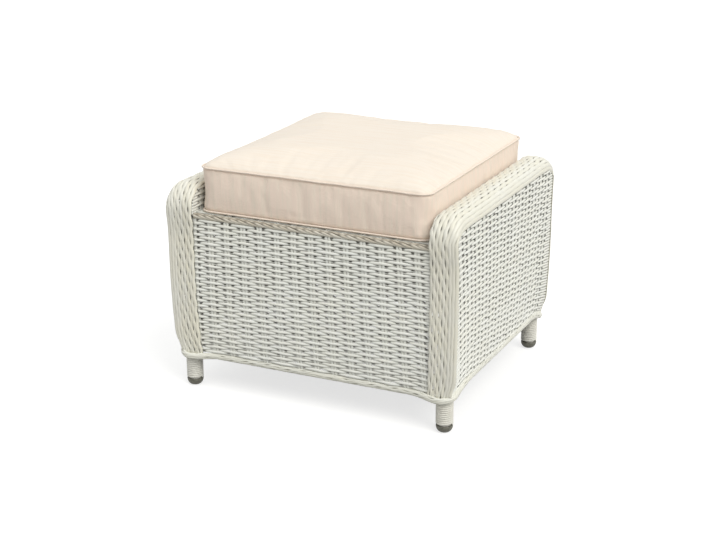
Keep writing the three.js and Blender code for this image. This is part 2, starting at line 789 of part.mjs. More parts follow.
// Foam block, a cloth's thickness inside the cover.
const foamShares = [1, 0.985, 0.95, 0.75, 0.2];
const foamBottom = bottomPanelZ + clothThickness + fit;
const foamSideRings = Array.from({ length: boxingRows + 1 }, (_, k) => {
  const z = lerp(boxingBottom, boxingTop, k / boxingRows);
  return cushionRing(boxingInset(z) + foamInset, z);
});
add(
  'cushion_foam',
  loft([
    cushionRing(panelInset + fit, foamBottom, bottomShares[0]),
    cushionRing(panelInset + fit, foamBottom),
    cushionRing(panelInset + fit, bottomSeam + pipingRadius / 2),
    ...foamSideRings,
    ...crownedRings(panelInset + fit, topPanelSeam - fit, foamShares),
  ]),
  cushionFoam(),
);

// A strip of the boxing between two points of the outline, trimmed at both ends.
function stripGeometry(from, to, bottom, top, rows, proud, thickness) {
  const pointAt = (i, j, depth) => {
    const z = lerp(bottom, top, j / rows);
    const ring = cushionRing(boxingInset(z) - proud + depth, z);
    const point = ring[(from + i) % ring.length];
    const trim = i === 0 ? 1 : i === to - from ? -1 : 0;
    if (trim === 0) return point;
    const inward = ring[(from + i + trim) % ring.length].clone().sub(point).normalize();
    return point.addScaledVector(inward, fit / 2);
  };
  return skin(to - from, rows, (i, j) => pointAt(i, j, 0), (i, j) => pointAt(i, j, thickness));
}

// The boxing covers the front and both sides. The back is two strips with the zip between them.
const boxingFrom = arcPoints - 1;
const boxingTo = 3 * sidePoints;
const gussetTo = 4 * sidePoints + arcPoints - 1;
const zipZ = (boxingBottom + boxingTop) / 2;
const zipWidth = 5;
const zipThickness = 1.6;
const zipProud = 0.5;
const gussetRows = 2;
add(
  'cushion_boxing',
  stripGeometry(boxingFrom, boxingTo, boxingBottom, boxingTop, boxingRows, 0, clothThickness),
  cushionCloth(),
);
add(
  'zip_gusset_lower',
  stripGeometry(boxingTo, gussetTo, boxingBottom, zipZ - zipWidth / 2 - fit, gussetRows, 0, clothThickness),
  cushionCloth(),
);
add(
  'zip_gusset_upper',
  stripGeometry(boxingTo, gussetTo, zipZ + zipWidth / 2 + fit, boxingTop, gussetRows, 0, clothThickness),
  cushionCloth(),
);
add(
  'zip_chain',
  stripGeometry(boxingTo, gussetTo, zipZ - zipWidth / 2, zipZ + zipWidth / 2, 1, zipProud, zipThickness),
  zipPlastic(),
);

// Zip slider: a plate over the chain with a bridge on it. The pull tab turns in the bridge.
const sliderLength = 12;
const sliderWidth = 9;
const sliderThickness = 2;
const bridgeLength = 8;
const bridgeWidth = 2;
const bridgeWall = 1;
const bridgeSpace = 2.2; // height of the opening that the tab turns in
const sliderOverlap = 0.2; // the bridge is sunk this far into the plate to join it
const zipEndMargin = 12;
const tabThickness = 1.2;
const tabBar = 1.6; // the bar of the tab that lies under the bridge
const tabSlotEnd = 6;
const tabSlotHalf = 1.6;
const tabHalfWidth = 3.6;
const tabLength = 28;
const sliderX = -(cushionHalfWidth - cushionCornerRadius - zipEndMargin);
const chainFaceY = cushionHalfDepth - boxingInset(zipZ) + zipProud;
const plateFaceY = chainFaceY + fit + sliderThickness;
const tabAxisY = plateFaceY + bridgeSpace / 2;

const wasm = await Module();
wasm.setup();

function toSolid(geometry) {
  const bare = geometry.clone();
  bare.deleteAttribute('normal');
  bare.deleteAttribute('uv');
  const merged = mergeVertices(bare);
  const vertProperties = new Float32Array(merged.attributes.position.array);
  const triVerts = new Uint32Array(merged.index.array);
  return new wasm.Manifold(new wasm.Mesh({ numProp: 3, vertProperties, triVerts }));
}

function fromSolid(body) {
  const { vertProperties, triVerts } = body.getMesh();
  const geometry = new THREE.BufferGeometry();
  geometry.setAttribute('position', new THREE.BufferAttribute(new Float32Array(vertProperties), 3));
  geometry.setIndex(new THREE.BufferAttribute(new Uint32Array(triVerts), 1));
  return geometry;
}

function rectangle(path, x0, y0, x1, y1) {
  path.moveTo(x0, y0);
  path.lineTo(x1, y0);
  path.lineTo(x1, y1);
  path.lineTo(x0, y1);
  path.closePath();
  return path;
}

function sliderGeometry() {
  const plate = new THREE.BoxGeometry(sliderLength, sliderThickness, sliderWidth);
  plate.translate(0, -sliderThickness / 2, 0);
  const reach = bridgeLength / 2;
  const inside = reach - bridgeWall;
  const outline = rectangle(new THREE.Shape(), -reach, -sliderOverlap, reach, bridgeSpace + bridgeWall);
  const cut = new THREE.Path();
  cut.moveTo(-inside, 0);
  cut.lineTo(inside, 0);
  cut.lineTo(inside, bridgeSpace);
  cut.lineTo(-inside, bridgeSpace);
  cut.closePath();
  outline.holes.push(cut);
  const bridge = new THREE.ExtrudeGeometry(outline, { depth: bridgeWidth, bevelEnabled: false });
  bridge.translate(0, 0, -bridgeWidth / 2);
  return fromSolid(toSolid(plate).add(toSolid(bridge)));
}

function tabGeometry() {
  const outline = rectangle(new THREE.Shape(), -tabBar / 2, -tabHalfWidth, tabLength, tabHalfWidth);
  outline.holes.push(rectangle(new THREE.Path(), tabBar / 2, -tabSlotHalf, tabSlotEnd, tabSlotHalf));
  const tab = new THREE.ExtrudeGeometry(outline, { depth: tabThickness, bevelEnabled: false });
  tab.translate(0, 0, -tabThickness / 2);
  tab.rotateX(quarterTurn);
  return fromSolid(toSolid(tab));
}

add('zip_slider', sliderGeometry(), zipMetal()).position.set(sliderX, plateFaceY, zipZ);
add('zip_pull_tab', tabGeometry(), zipMetal()).position.set(sliderX, tabAxisY, zipZ);

export default group;
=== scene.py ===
import math

import bpy
import numpy as np
from mathutils import Matrix


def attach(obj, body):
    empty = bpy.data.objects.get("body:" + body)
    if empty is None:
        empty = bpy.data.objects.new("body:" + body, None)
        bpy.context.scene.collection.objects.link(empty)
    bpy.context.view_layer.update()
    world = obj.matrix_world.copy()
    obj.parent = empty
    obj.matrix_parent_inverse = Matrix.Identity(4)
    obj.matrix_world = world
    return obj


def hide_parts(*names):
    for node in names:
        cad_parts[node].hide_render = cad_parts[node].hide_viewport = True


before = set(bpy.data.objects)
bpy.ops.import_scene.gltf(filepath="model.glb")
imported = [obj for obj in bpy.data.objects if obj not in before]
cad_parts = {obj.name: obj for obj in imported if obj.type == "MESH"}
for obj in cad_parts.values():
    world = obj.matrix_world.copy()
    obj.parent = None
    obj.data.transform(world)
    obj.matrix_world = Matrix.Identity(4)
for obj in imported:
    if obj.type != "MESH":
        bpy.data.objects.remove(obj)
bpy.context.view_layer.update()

# Camera. It looks down a little on the stool from in front of its right corner, through a long lens.
# Its place is in metres, and its turn, tilt and roll are in degrees.
camera_place = (1.2070, -2.5516, 1.1598)
camera_turn = 25.663
camera_tilt = 18.740
camera_roll = -0.286
camera_data = bpy.data.cameras.new("camera")
camera_data.sensor_width = 36.0
camera_data.lens = 75.32
camera = bpy.data.objects.new("camera", camera_data)
camera.matrix_world = (
    Matrix.Translation(camera_place)
    @ Matrix.Rotation(math.radians(camera_turn), 4, "Z")
    @ Matrix.Rotation(math.radians(90 - camera_tilt), 4, "X")
    @ Matrix.Rotation(math.radians(camera_roll), 4, "Z")
)
bpy.context.scene.collection.objects.link(camera)
bpy.context.scene.camera = camera

# Frame. Two bent aluminium hoops, each both legs and the arm of one side, with welded rails, a seat
# cross bar and thin edge rods, all powder coated off-white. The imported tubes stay; this is their coat.
coat_colour = (0.80, 0.79, 0.74)
coat_dust_colour = (0.66, 0.65, 0.59)
coat_dust = ((35.0,) * 3, 4.0, 0.35, 0.75)
coat_peel = ((700.0,) * 3, 1.0, 0.3, 0.7)
coat_nodes = (
    "side_hoop_left side_hoop_right top_rail_front top_rail_back bottom_rail_front bottom_rail_back "
    "bottom_rail_left bottom_rail_right seat_rail_left seat_rail_right seat_cross_bar edge_rod_outer_left "
    "edge_rod_outer_right edge_rod_inner_left edge_rod_inner_right"
).split()


def add_node(tree, kind, inputs, **settings):
    """A new shader node with its settings, and its inputs linked or given values. Gives its outputs."""
    node = tree.nodes.new("ShaderNode" + kind)
    for setting, value in settings.items():
        setattr(node, setting, value)
    for key, value in inputs.items():
        if isinstance(value, bpy.types.NodeSocket):
            tree.links.new(value, node.inputs[key])
        else:
            node.inputs[key].default_value = value
    return node.outputs


def new_finish(name, roughness):
    """A material with one Principled shader. Gives the material, its node tree and the shader."""
    material = bpy.data.materials.new(name)
    material.use_nodes = True
    tree = material.node_tree
    shader = tree.nodes["Principled BSDF"]
    shader.inputs["Roughness"].default_value = roughness
    return material, tree, shader


def mottle(tree, source, stretch, detail, low, high):
    """Noise over Object or UV coordinates multiplied by `stretch` along each axis, spread from 0 to 1
    between the noise values `low` and `high`."""
    coordinates = add_node(tree, "TexCoord", {})[source]
    place = add_node(tree, "Mapping", {"Vector": coordinates, "Scale": stretch})["Vector"]
    noise = add_node(tree, "TexNoise", {"Vector": place, "Scale": 1.0, "Detail": detail})["Fac"]
    return add_node(tree, "MapRange", {"Value": noise, "From Min": low, "From Max": high})["Result"]


def blend(tree, share, first, second):
    """The first colour where the share is 0 and the second where it is 1. A colour may be a socket."""
    first, second = ((*end, 1.0) if isinstance(end, tuple) else end for end in (first, second))
    return add_node(tree, "Mix", {0: share, 6: first, 7: second}, data_type="RGBA")[2]


def roughen(tree, shader, share, low, high):
    """Roughness from `low` to `high` as the share goes from 0 to 1."""
    spread = add_node(tree, "MapRange", {"Value": share, "To Min": low, "To Max": high})["Result"]
    tree.links.new(spread, shader.inputs["Roughness"])


def emboss(tree, shader, height, distance):
    """Bumps of a height share times a distance in metres."""
    bump = add_node(tree, "Bump", {"Height": height, "Distance": distance, "Strength": 1.0})
    tree.links.new(bump["Normal"], shader.inputs["Normal"])


def mottled_finish(name, colours, patches, roughness, depth, grain=None, source="Object", more=()):
    """A material that goes from its first colour and roughness to its second over patches of noise,
    with bumps of the grain, or else of the patches, times the depth in metres. Patches and grain are
    stretch, detail, low and high; `more` holds further inputs of the shader."""
    material, tree, shader = new_finish(name, roughness[0])
    share = mottle(tree, source, *patches)
    tree.links.new(blend(tree, share, *colours), shader.inputs["Base Color"])
    for key, value in more:
        shader.inputs[key].default_value = value
    if roughness[0] < roughness[1]:
        roughen(tree, shader, share, *roughness)
    if depth > 0:
        emboss(tree, shader, mottle(tree, source, *grain) if grain else share, depth)
    return material


def coat_packed(node_names, finish):
    """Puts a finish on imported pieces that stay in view."""
    for node_name in node_names:
        for material_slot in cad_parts[node_name].material_slots:
            material_slot.material = finish


coat = mottled_finish("frame_coat", (coat_colour, coat_dust_colour), coat_dust, (0.36, 0.52), 0.00006,
                      coat_peel)
coat_packed(coat_nodes, coat)

# Glides. A moulded olive-grey plastic foot is pressed into each tube end: a domed underside with a
# small flat to stand on, a short straight rim, and a plug up inside the tube.
leg_x = 265.0
leg_y = 230.0
glide_sides = 40
glide_dome_height = 12.4
glide_shoulder = 13.7
glide_flat_radius = 6.0
glide_rim_radius = 15.9
glide_plug_radius = 10.0
glide_plug_top = 29.0
glide_chamfer = 0.8
glide_pole_radius = 0.3
glide_wear = ((140.0, 140.0, 260.0), 5.0, 0.38, 0.68)
glide_grain = ((1500.0,) * 3, 2.0, 0.3, 0.7)
glide_colour = (0.095, 0.093, 0.072)
glide_worn_colour = (0.19, 0.185, 0.15)
corners = {
    "front_left": (-leg_x, -leg_y),
    "front_right": (leg_x, -leg_y),
    "back_left": (-leg_x, leg_y),
    "back_right": (leg_x, leg_y),
}


def ring_faces(bodies, rings, sides, loop):
    """Quads over `bodies` runs of `rings` rings with `sides` points each. A loop joins its last ring to
    its first; the ends of an open run are closed by fans of quads. Faces point out where the points of
    a ring go from the cross product of the run's direction and a facing direction towards that facing."""
    index = np.arange(bodies * rings * sides).reshape(bodies, rings, sides)
    first = index if loop else index[:, :-1]
    second = np.roll(index, -1, axis=1) if loop else index[:, 1:]
    walls = np.stack([first, second, np.roll(second, -1, axis=2), np.roll(first, -1, axis=2)], axis=-1)
    quads = [walls.reshape(-1, 4)]
    for step in range(1, sides // 2 if not loop else 1):
        quads.append(index[:, 0, [0, 2 * step - 1, 2 * step, 2 * step + 1]])
        quads.append(index[:, -1, [0, 2 * step + 1, 2 * step, 2 * step - 1]])
    return np.concatenate(quads)


def make_piece(name, points, quads, body, finish, marks=None, sheet_map=None):
    """A smooth closed mesh from points in millimetres and quads. Marks are one number for each point,
    kept as named attributes; the sheet map is a pair of numbers for each corner of each quad."""
    mesh = bpy.data.meshes.new(name)
    mesh.vertices.add(len(points))
    mesh.vertices.foreach_set("co", (points * 0.001).astype(np.float32).ravel())
    mesh.loops.add(quads.size)
    mesh.loops.foreach_set("vertex_index", quads.astype(np.int32).ravel())
    mesh.polygons.add(len(quads))
    mesh.polygons.foreach_set("loop_start", np.arange(0, quads.size, 4, dtype=np.int32))
    mesh.polygons.foreach_set("use_smooth", np.ones(len(quads), dtype=bool))
    mesh.update(calc_edges=True)
    for mark, values in (marks or {}).items():
        attribute = mesh.attributes.new(mark, "FLOAT", "POINT")
        attribute.data.foreach_set("value", np.ascontiguousarray(values, dtype=np.float32).ravel())
    if sheet_map is not None:
        layer = mesh.uv_layers.new(name="sheet_map")
        layer.data.foreach_set("uv", sheet_map.astype(np.float32).ravel())
    mesh.materials.append(finish)
    piece = bpy.data.objects.new(name, mesh)
    bpy.context.scene.collection.objects.link(piece)
    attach(piece, body)
    return piece


glide_finish = mottled_finish("glide_plastic", (glide_colour, glide_worn_colour), glide_wear,
                              (0.42, 0.62), 0.00008, glide_grain)
dome_angle = np.linspace(0.0, math.pi / 2, 12)
dome_radius = glide_flat_radius + (glide_rim_radius - glide_flat_radius) * np.sin(dome_angle)
dome_height = glide_dome_height * (1 - np.cos(dome_angle))
glide_profile = np.concatenate([
    [[glide_pole_radius, 0.0]],
    np.stack([dome_radius, dome_height], axis=1),
    [[glide_rim_radius, glide_shoulder - glide_chamfer], [glide_rim_radius - glide_chamfer, glide_shoulder]],
    [[glide_plug_radius, glide_shoulder], [glide_plug_radius, glide_plug_top]],
    [[glide_pole_radius, glide_plug_top]],
])
glide_angle = np.arange(glide_sides) / glide_sides * 2 * math.pi
glide_out = glide_profile[:, :1]
glide_up = glide_profile[:, 1:] + 0 * glide_angle
glide_left = -glide_out * np.cos(glide_angle)
glide_shape = np.stack([glide_left, glide_out * np.sin(glide_angle), glide_up], axis=-1)
glide_quads = ring_faces(1, len(glide_profile), glide_sides, False)
for corner, (corner_x, corner_y) in corners.items():
    glide_points = glide_shape.reshape(-1, 3) + [corner_x, corner_y, 0.0]
    glide = make_piece("glide_foot_" + corner, glide_points, glide_quads, "body", glide_finish)
    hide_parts("glide_" + corner)

# Leg windings. One flat-oval strand of off-white resin is wound round each leg from the glide up to
# the bottom border, each turn touching the last.
wrap_radius = 14.9
wrap_pitch = 3.9
wrap_width = 4.1
wrap_thickness = 3.2
wrap_turns = 13.8
wrap_start = 16.2
wrap_steps = 26
# The winding strand's own colour, its painted shade colour, and a warmer tone.
wrap_colours = ((0.80, 0.79, 0.72), (0.42, 0.40, 0.33), (0.78, 0.75, 0.64))
# Painted shade in the valleys between the turns of the winding.
wrap_valley_shade = 0.35
# Painted shade on the back of every strand.
back_painted_shade = 0.45
strand_darker = 0.88
strand_patch_share = 0.45
strand_roughness = (0.32, 0.5)
strand_relief = 0.00015
strand_streaks = ((55.0, 9.0, 1.0), 3.0, 0.3, 0.75)
strand_patches = ((13.0,) * 3, 3.0, 0.35, 0.7)
strand_grooves = ((20.0, 30.0, 1.0), 2.0, 0.3, 0.7)
oval_angle = np.arange(8) * math.pi / 4
oval_across = np.sign(np.cos(oval_angle).round(6)) * np.abs(np.cos(oval_angle)) ** 0.8
oval_section = np.stack([oval_across, np.sin(oval_angle)], axis=1)


def unit(vectors):
    """Each vector divided by its own length."""
    return vectors / np.linalg.norm(vectors, axis=-1, keepdims=True)


def run_direction(points, loop):
    """Unit direction along each run of points: the difference of the points before and after."""
    if loop:
        return unit(np.roll(points, -1, axis=1) - np.roll(points, 1, axis=1))
    return unit(np.gradient(points, axis=1))


def run_lengths(points):
    """Length from the start of each run of points to each of them: the sum of the steps so far."""
    steps = np.linalg.norm(np.diff(points, axis=-2), axis=-1)
    return np.concatenate([0 * steps[..., :1], np.cumsum(steps, axis=-1)], axis=-1)


def strands(name, centres, facing, width, thickness, body, finish, painted_shade=0.0, tone=None, loop=False,
            section=oval_section, valley_shade=0.0, pocket_shadow=0.0, under=0.0):
    """Strands with a flat-oval section. A point of the section is the strand's centre, plus half the
    width times its first share across the strand, plus half the thickness times its second share
    towards the facing direction. The painted shade, from 0 to 1, is the given amount for how far behind
    the strand lies, plus the valley shade at its sides and back, the back painted shade on its back, a
    painted pocket shadow on the side against the cross product of its run and facing (the upper one on
    the weave, shadowed by the row above), and the underside shade on the side opposite.
    `tone` is one number for each strand. The sheet map is length along and share round the strand."""
    runs, samples = centres.shape[:2]
    sides = len(section)
    along = run_direction(centres, loop)
    facing = unit(facing - along * np.sum(facing * along, axis=-1, keepdims=True))
    across = np.cross(along, facing)
    half_width = np.broadcast_to(width, (runs, samples))[..., None, None] / 2
    half_thickness = np.broadcast_to(thickness, (runs, samples))[..., None, None] / 2
    valley_shade = np.broadcast_to(valley_shade, (runs, samples))[..., None]
    pocket_shadow = np.broadcast_to(pocket_shadow, (runs, samples))[..., None]
    points = (
        centres[:, :, None]
        + across[:, :, None] * half_width * section[:, :1]
        + facing[:, :, None] * half_thickness * section[:, 1:]
    )
    quads = ring_faces(runs, samples, sides, loop)
    length = np.repeat((run_lengths(centres) * 0.001).ravel(), sides)
    around = np.tile(np.arange(sides) / sides, runs * samples)
    corner_around = around[quads]
    corner_around = np.where(corner_around.max(axis=1, keepdims=True) - corner_around > 0.6,
                             corner_around + 1, corner_around)
    sheet_map = np.stack([length[quads], corner_around], axis=-1).reshape(-1, 2)
    tone = np.zeros(runs) if tone is None else tone
    # Painted shade: each mark darkens its part of the strand towards the shade colour, and their sum is
    # clipped to 1.
    painted_shade_sum = np.broadcast_to(painted_shade, (runs, samples))[..., None] + valley_shade * (section[:, 1] < 0.5)
    painted_shade_sum = painted_shade_sum + pocket_shadow * (section[:, 0] < -0.5) + under * (section[:, 0] > 0.5)
    painted_shade_sum = painted_shade_sum + back_painted_shade * (section[:, 1] < -0.5)
    marks = {
        "painted_shade": np.clip(painted_shade_sum, 0.0, 1.0).ravel(),
        "tone": np.repeat(np.broadcast_to(tone[:, None], (runs, samples)).ravel(), sides),
    }
    return make_piece(name, points.reshape(-1, 3), quads, body, finish, marks, sheet_map)


def strand_finish(name, colour, shade, warm):
    """Extruded resin strand: satin, faintly streaked along its length, and a little warmer or greyer from
    strand to strand. Where it lies back between its neighbours it is painted darker, as shade. Colours
    are the strand's own, the painted shade's where it lies back, and a warmer one."""
    material, tree, shader = new_finish(name, 0.45)
    streak = mottle(tree, "UV", *strand_streaks)
    patch = mottle(tree, "Object", *strand_patches)
    tone = add_node(tree, "Attribute", {}, attribute_name="tone")["Fac"]
    # How much of the painted shade colour goes into the strand's colour, for shade where it lies back.
    painted_shade = add_node(tree, "Attribute", {}, attribute_name="painted_shade")["Fac"]
    darker = tuple(channel * strand_darker for channel in colour)
    streaked = blend(tree, streak, blend(tree, tone, colour, warm), darker)
    faint_patch = add_node(tree, "Math", {0: patch, 1: strand_patch_share}, operation="MULTIPLY")[0]
    mottled = blend(tree, faint_patch, streaked, warm)
    tree.links.new(blend(tree, painted_shade, mottled, shade), shader.inputs["Base Color"])
    roughen(tree, shader, streak, *strand_roughness)
    emboss(tree, shader, mottle(tree, "UV", *strand_grooves), strand_relief)
    return material


wrap_finish = strand_finish("leg_strand", *wrap_colours)
wrap_angle = np.linspace(0.0, wrap_turns * 2 * math.pi, int(wrap_turns * wrap_steps))
wrap_outward = np.stack([np.cos(wrap_angle), np.sin(wrap_angle), 0 * wrap_angle], axis=-1)
wrap_height = wrap_start + wrap_angle / (2 * math.pi) * wrap_pitch
for corner, (corner_x, corner_y) in corners.items():
    wrap_line = wrap_outward * wrap_radius + np.array([corner_x, corner_y, 0.0])
    wrap_line[:, 2] += wrap_height
    wrap = strands("leg_wrap_" + corner, wrap_line[None], wrap_outward[None], wrap_width, wrap_thickness,
                   "body", wrap_finish, valley_shade=wrap_valley_shade)
    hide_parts("leg_winding_" + corner)

# Bottom border. Long strands laid round the foot of the weave and rolled over each other like a loose
# rope. It dips and swells out round each leg. One closed loop of eight strands.
border_height = 13.0
border_depth = 10.0
border_strands = 8
border_turns = 8
border_samples = 1500
front_foot_z = 70.5
side_foot_z = 88.5
border_leg_z = 66.0
border_bend_out = 20.9
border_proud = 1.5
border_inset = 4.5
border_thickness = 3.8
border_sway = 0.25
border_overlap = 1.04
# Painted shade, darker towards the underside of the roll and in the valleys between its strands.
border_shade = 0.16
border_valley_shade = 0.4
front_dip_from = 200.0
side_dip_from = 165.0
side_dip_to = 270.0
panel_recess = 5.0
foot_tuck_most = 8.0
# The border strand's own colour, its painted shade colour, and a warmer tone.
border_colours = ((0.865, 0.87, 0.795), (0.46, 0.45, 0.38), (0.83, 0.82, 0.72))


def ease(value, low, high):
    """Smooth step from 0 at `low` to 1 at `high`: 3 t squared less 2 t cubed."""
    share = np.clip((value - low) / (high - low), 0.0, 1.0)
    return share * share * (3 - 2 * share)


def half_width(z):
    """Half width of the woven body: 296.9 at the bulge, drawn in by a power of the height off it."""
    return 296.9 - 11.0 * np.abs((290.0 - z) / 290.0) ** 2.2


def half_depth(z):
    """Half depth of the woven body: 255.5 above 230, drawn in by the square of the height below it."""
    return 255.5 - 14.6 * (np.maximum(0.0, 230.0 - z) / 230.0) ** 2


def front_border_z(x):
    """Height of the bottom border along the front: it eases down to the legs."""
    return front_foot_z + (border_leg_z - front_foot_z) * ease(np.abs(x), front_dip_from, leg_x)


def side_border_z(y):
    """Height of the bottom border along a side, where it lies higher and dips further."""
    dip = ease(np.abs(y), side_dip_from, side_dip_to)
    return side_foot_z + (border_leg_z - side_foot_z) * dip


def foot_border_z(x):
    """Height of the border below a point of the front. Past the leg it climbs round the corner, by the
    share of the quarter turn whose sine is the distance past the leg over the corner's radius."""
    past = np.clip((np.abs(x) - leg_x) / border_bend_out, 0.0, 1.0)
    climb = (side_border_z(leg_y) - border_leg_z) * np.arcsin(past) / (math.pi / 2)
    return np.where(past > 0, border_leg_z + climb, front_border_z(x))


def foot_tuck(y, z):
    """How far the foot of the sides is drawn in near a leg: 8 at the border, eased to 0 at 112 high."""
    return foot_tuck_most * ease(np.abs(y), 150.0, leg_y) * (1 - ease(z, 68.0, 112.0))


def even_run(points, count, loop, carried=None):
    """Points, or else values carried along them, spread evenly by length along a line of points."""
    carried = points if carried is None else carried
    line, carried = (np.concatenate([run, run[:1]]) if loop else run for run in (points, carried))
    length = run_lengths(line)
    even = np.arange(count) / count * length[-1] if loop else np.linspace(0.0, length[-1], count)
    return np.stack([np.interp(even, length, values) for values in carried.T], axis=1)


def rolled_border(name, path, up, seed):
    """Strands that go round an oval roll as they run along a closed path. The angle of strand s at
    share t of the way is 2 pi (s / count + turns t), leaned a little to and fro; its centre is the
    path, plus the roll's half depth times the cosine outwards, plus its half height times the sine
    upwards. With a whole number of turns each strand meets its own start."""
    rng = np.random.default_rng(seed)
    along = run_direction(path[None], True)[0]
    outward = unit(np.cross(along, np.broadcast_to(up, along.shape)))
    upward = np.cross(outward, along)
    share = np.arange(len(path)) / len(path)
    strand = np.arange(border_strands)[:, None]
    phase = rng.random((border_strands, 1))
    sway = border_sway * np.sin(2 * math.pi * (border_turns * border_strands * share + phase))
    angle = 2 * math.pi * (strand / border_strands + border_turns * share) + sway
    lateral = math.pi * (border_depth + border_height) / 2 / border_strands
    cosine = np.cos(angle)[..., None]
    sine = np.sin(angle)[..., None]
    half_out = (border_depth - border_thickness) / 2
    half_up = (border_height - border_thickness) / 2
    centres = path + outward * cosine * half_out + upward * sine * half_up
    facing = outward * cosine * border_height + upward * sine * border_depth
    # Painted shade: darker as the strand goes round under the roll.
    painted_shade = border_shade - border_shade * np.sin(angle)
    finish = strand_finish("border_strand", *border_colours)
    return strands(name, centres, facing, lateral * border_overlap, border_thickness, "body", finish,
                   painted_shade, rng.random(border_strands), True, valley_shade=border_valley_shade)


border_front_x = np.linspace(-leg_x, leg_x, 160)
border_side_y = np.linspace(-leg_y, leg_y, 160)
border_bend = np.radians(np.linspace(0.0, 90.0, 16))[1:-1]
border_face_y = half_depth(front_foot_z) - panel_recess + border_proud - border_inset
border_side_x = half_width(side_foot_z) + border_proud - border_inset
swell_share_y = ease(np.abs(border_front_x), front_dip_from, leg_x)
swell_share_x = ease(np.abs(border_side_y), side_dip_from, leg_y)
swell_y = (leg_y + border_bend_out - border_face_y) * swell_share_y
swell_x = (leg_x + border_bend_out - border_side_x) * swell_share_x
front_z = front_border_z(border_front_x)
border_front = np.stack([border_front_x, -border_face_y - swell_y, front_z], axis=1)
border_side = np.stack([border_side_x + swell_x, border_side_y, side_border_z(border_side_y)], axis=1)
corner_out_x = leg_x + border_bend_out * np.sin(border_bend)
corner_out_y = -leg_y - border_bend_out * np.cos(border_bend)
corner_z = border_leg_z + (side_border_z(leg_y) - border_leg_z) * border_bend / (math.pi / 2)
border_corner = np.stack([corner_out_x, corner_out_y, corner_z], axis=1)
turned = np.array([-1.0, -1.0, 1.0])
border_back_corner = border_corner[::-1] * [1.0, -1.0, 1.0]
border_half = np.concatenate([border_front, border_corner, border_side, border_back_corner])
border_path = even_run(np.concatenate([border_half, border_half * turned]), border_samples, True)
border = rolled_border("foot_border", border_path, (0.0, 0.0, 1.0), 3)
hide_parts("bottom_border")

# Front and back weave. Rows of off-white resin strand go in front of one upright pair of stakes and
# behind the next, and each row is opposite to the rows above and below it. The lowest follow the dip.
weave_width = 5.7
weave_thickness = 3.7
weave_wave = 1.45
weave_middle = 2.7
row_pitch = 5.5
stake_gap = 34.7
stake_width = 6.0
stake_thickness = 2.6
stake_half_gap = 3.0
stake_forward = 0.2
# Painted shade on the undersides of the rows.
weave_underside_shade = 0.3
weave_foot = 7.7
panel_top = 344.7
weave_samples = 12
weave_end_reach = 243.8
level_wander = 0.32
place_wander = 0.035
size_wander = 0.05
stake_wander = 0.5
# Painted shade: a little all over the stakes, and on the sides and backs of the rows and stakes.
stake_painted_shade = 0.1
row_valley_shade = 0.1
stake_valley_shade = 0.55
hole_front = -0.70
hole_spread = 0.19
close_holes = 0.3
row_end_from = 18.0
row_end_to = 10.0
# The weave strand's own colour, a near-black painted shade colour for the holes and backs, and a warmer
# tone.
weave_colours = ((0.93, 0.94, 0.885), (0.05, 0.047, 0.033), (0.895, 0.89, 0.80))
weave_finish = strand_finish("weave_strand", *weave_colours)


def arm_inner(z):
    """Inner edge of an arm: 53.5 in from the woven side."""
    return half_width(z) - 53.5


def surface_facing(surface, along, level):
    """Unit normals of a surface of two parameters: the cross product of its two slopes."""
    step = 0.5
    slope_along = surface(along + step, level) - surface(along - step, level)
    slope_up = surface(along, level + step) - surface(along, level - step)
    return unit(np.cross(slope_along, slope_up))


def slow_wave(rng, rows, samples, slowest, fastest):
    """Smooth random numbers along each row, near -1 to 1: a sum of sines with random phases."""
    share = np.linspace(0.0, 1.0, samples)
    total = np.zeros((rows, samples))
    for turns in np.linspace(slowest, fastest, 5):
        total += np.sin(2 * math.pi * (turns * share + rng.random((rows, 1)))) * 0.45
    return total


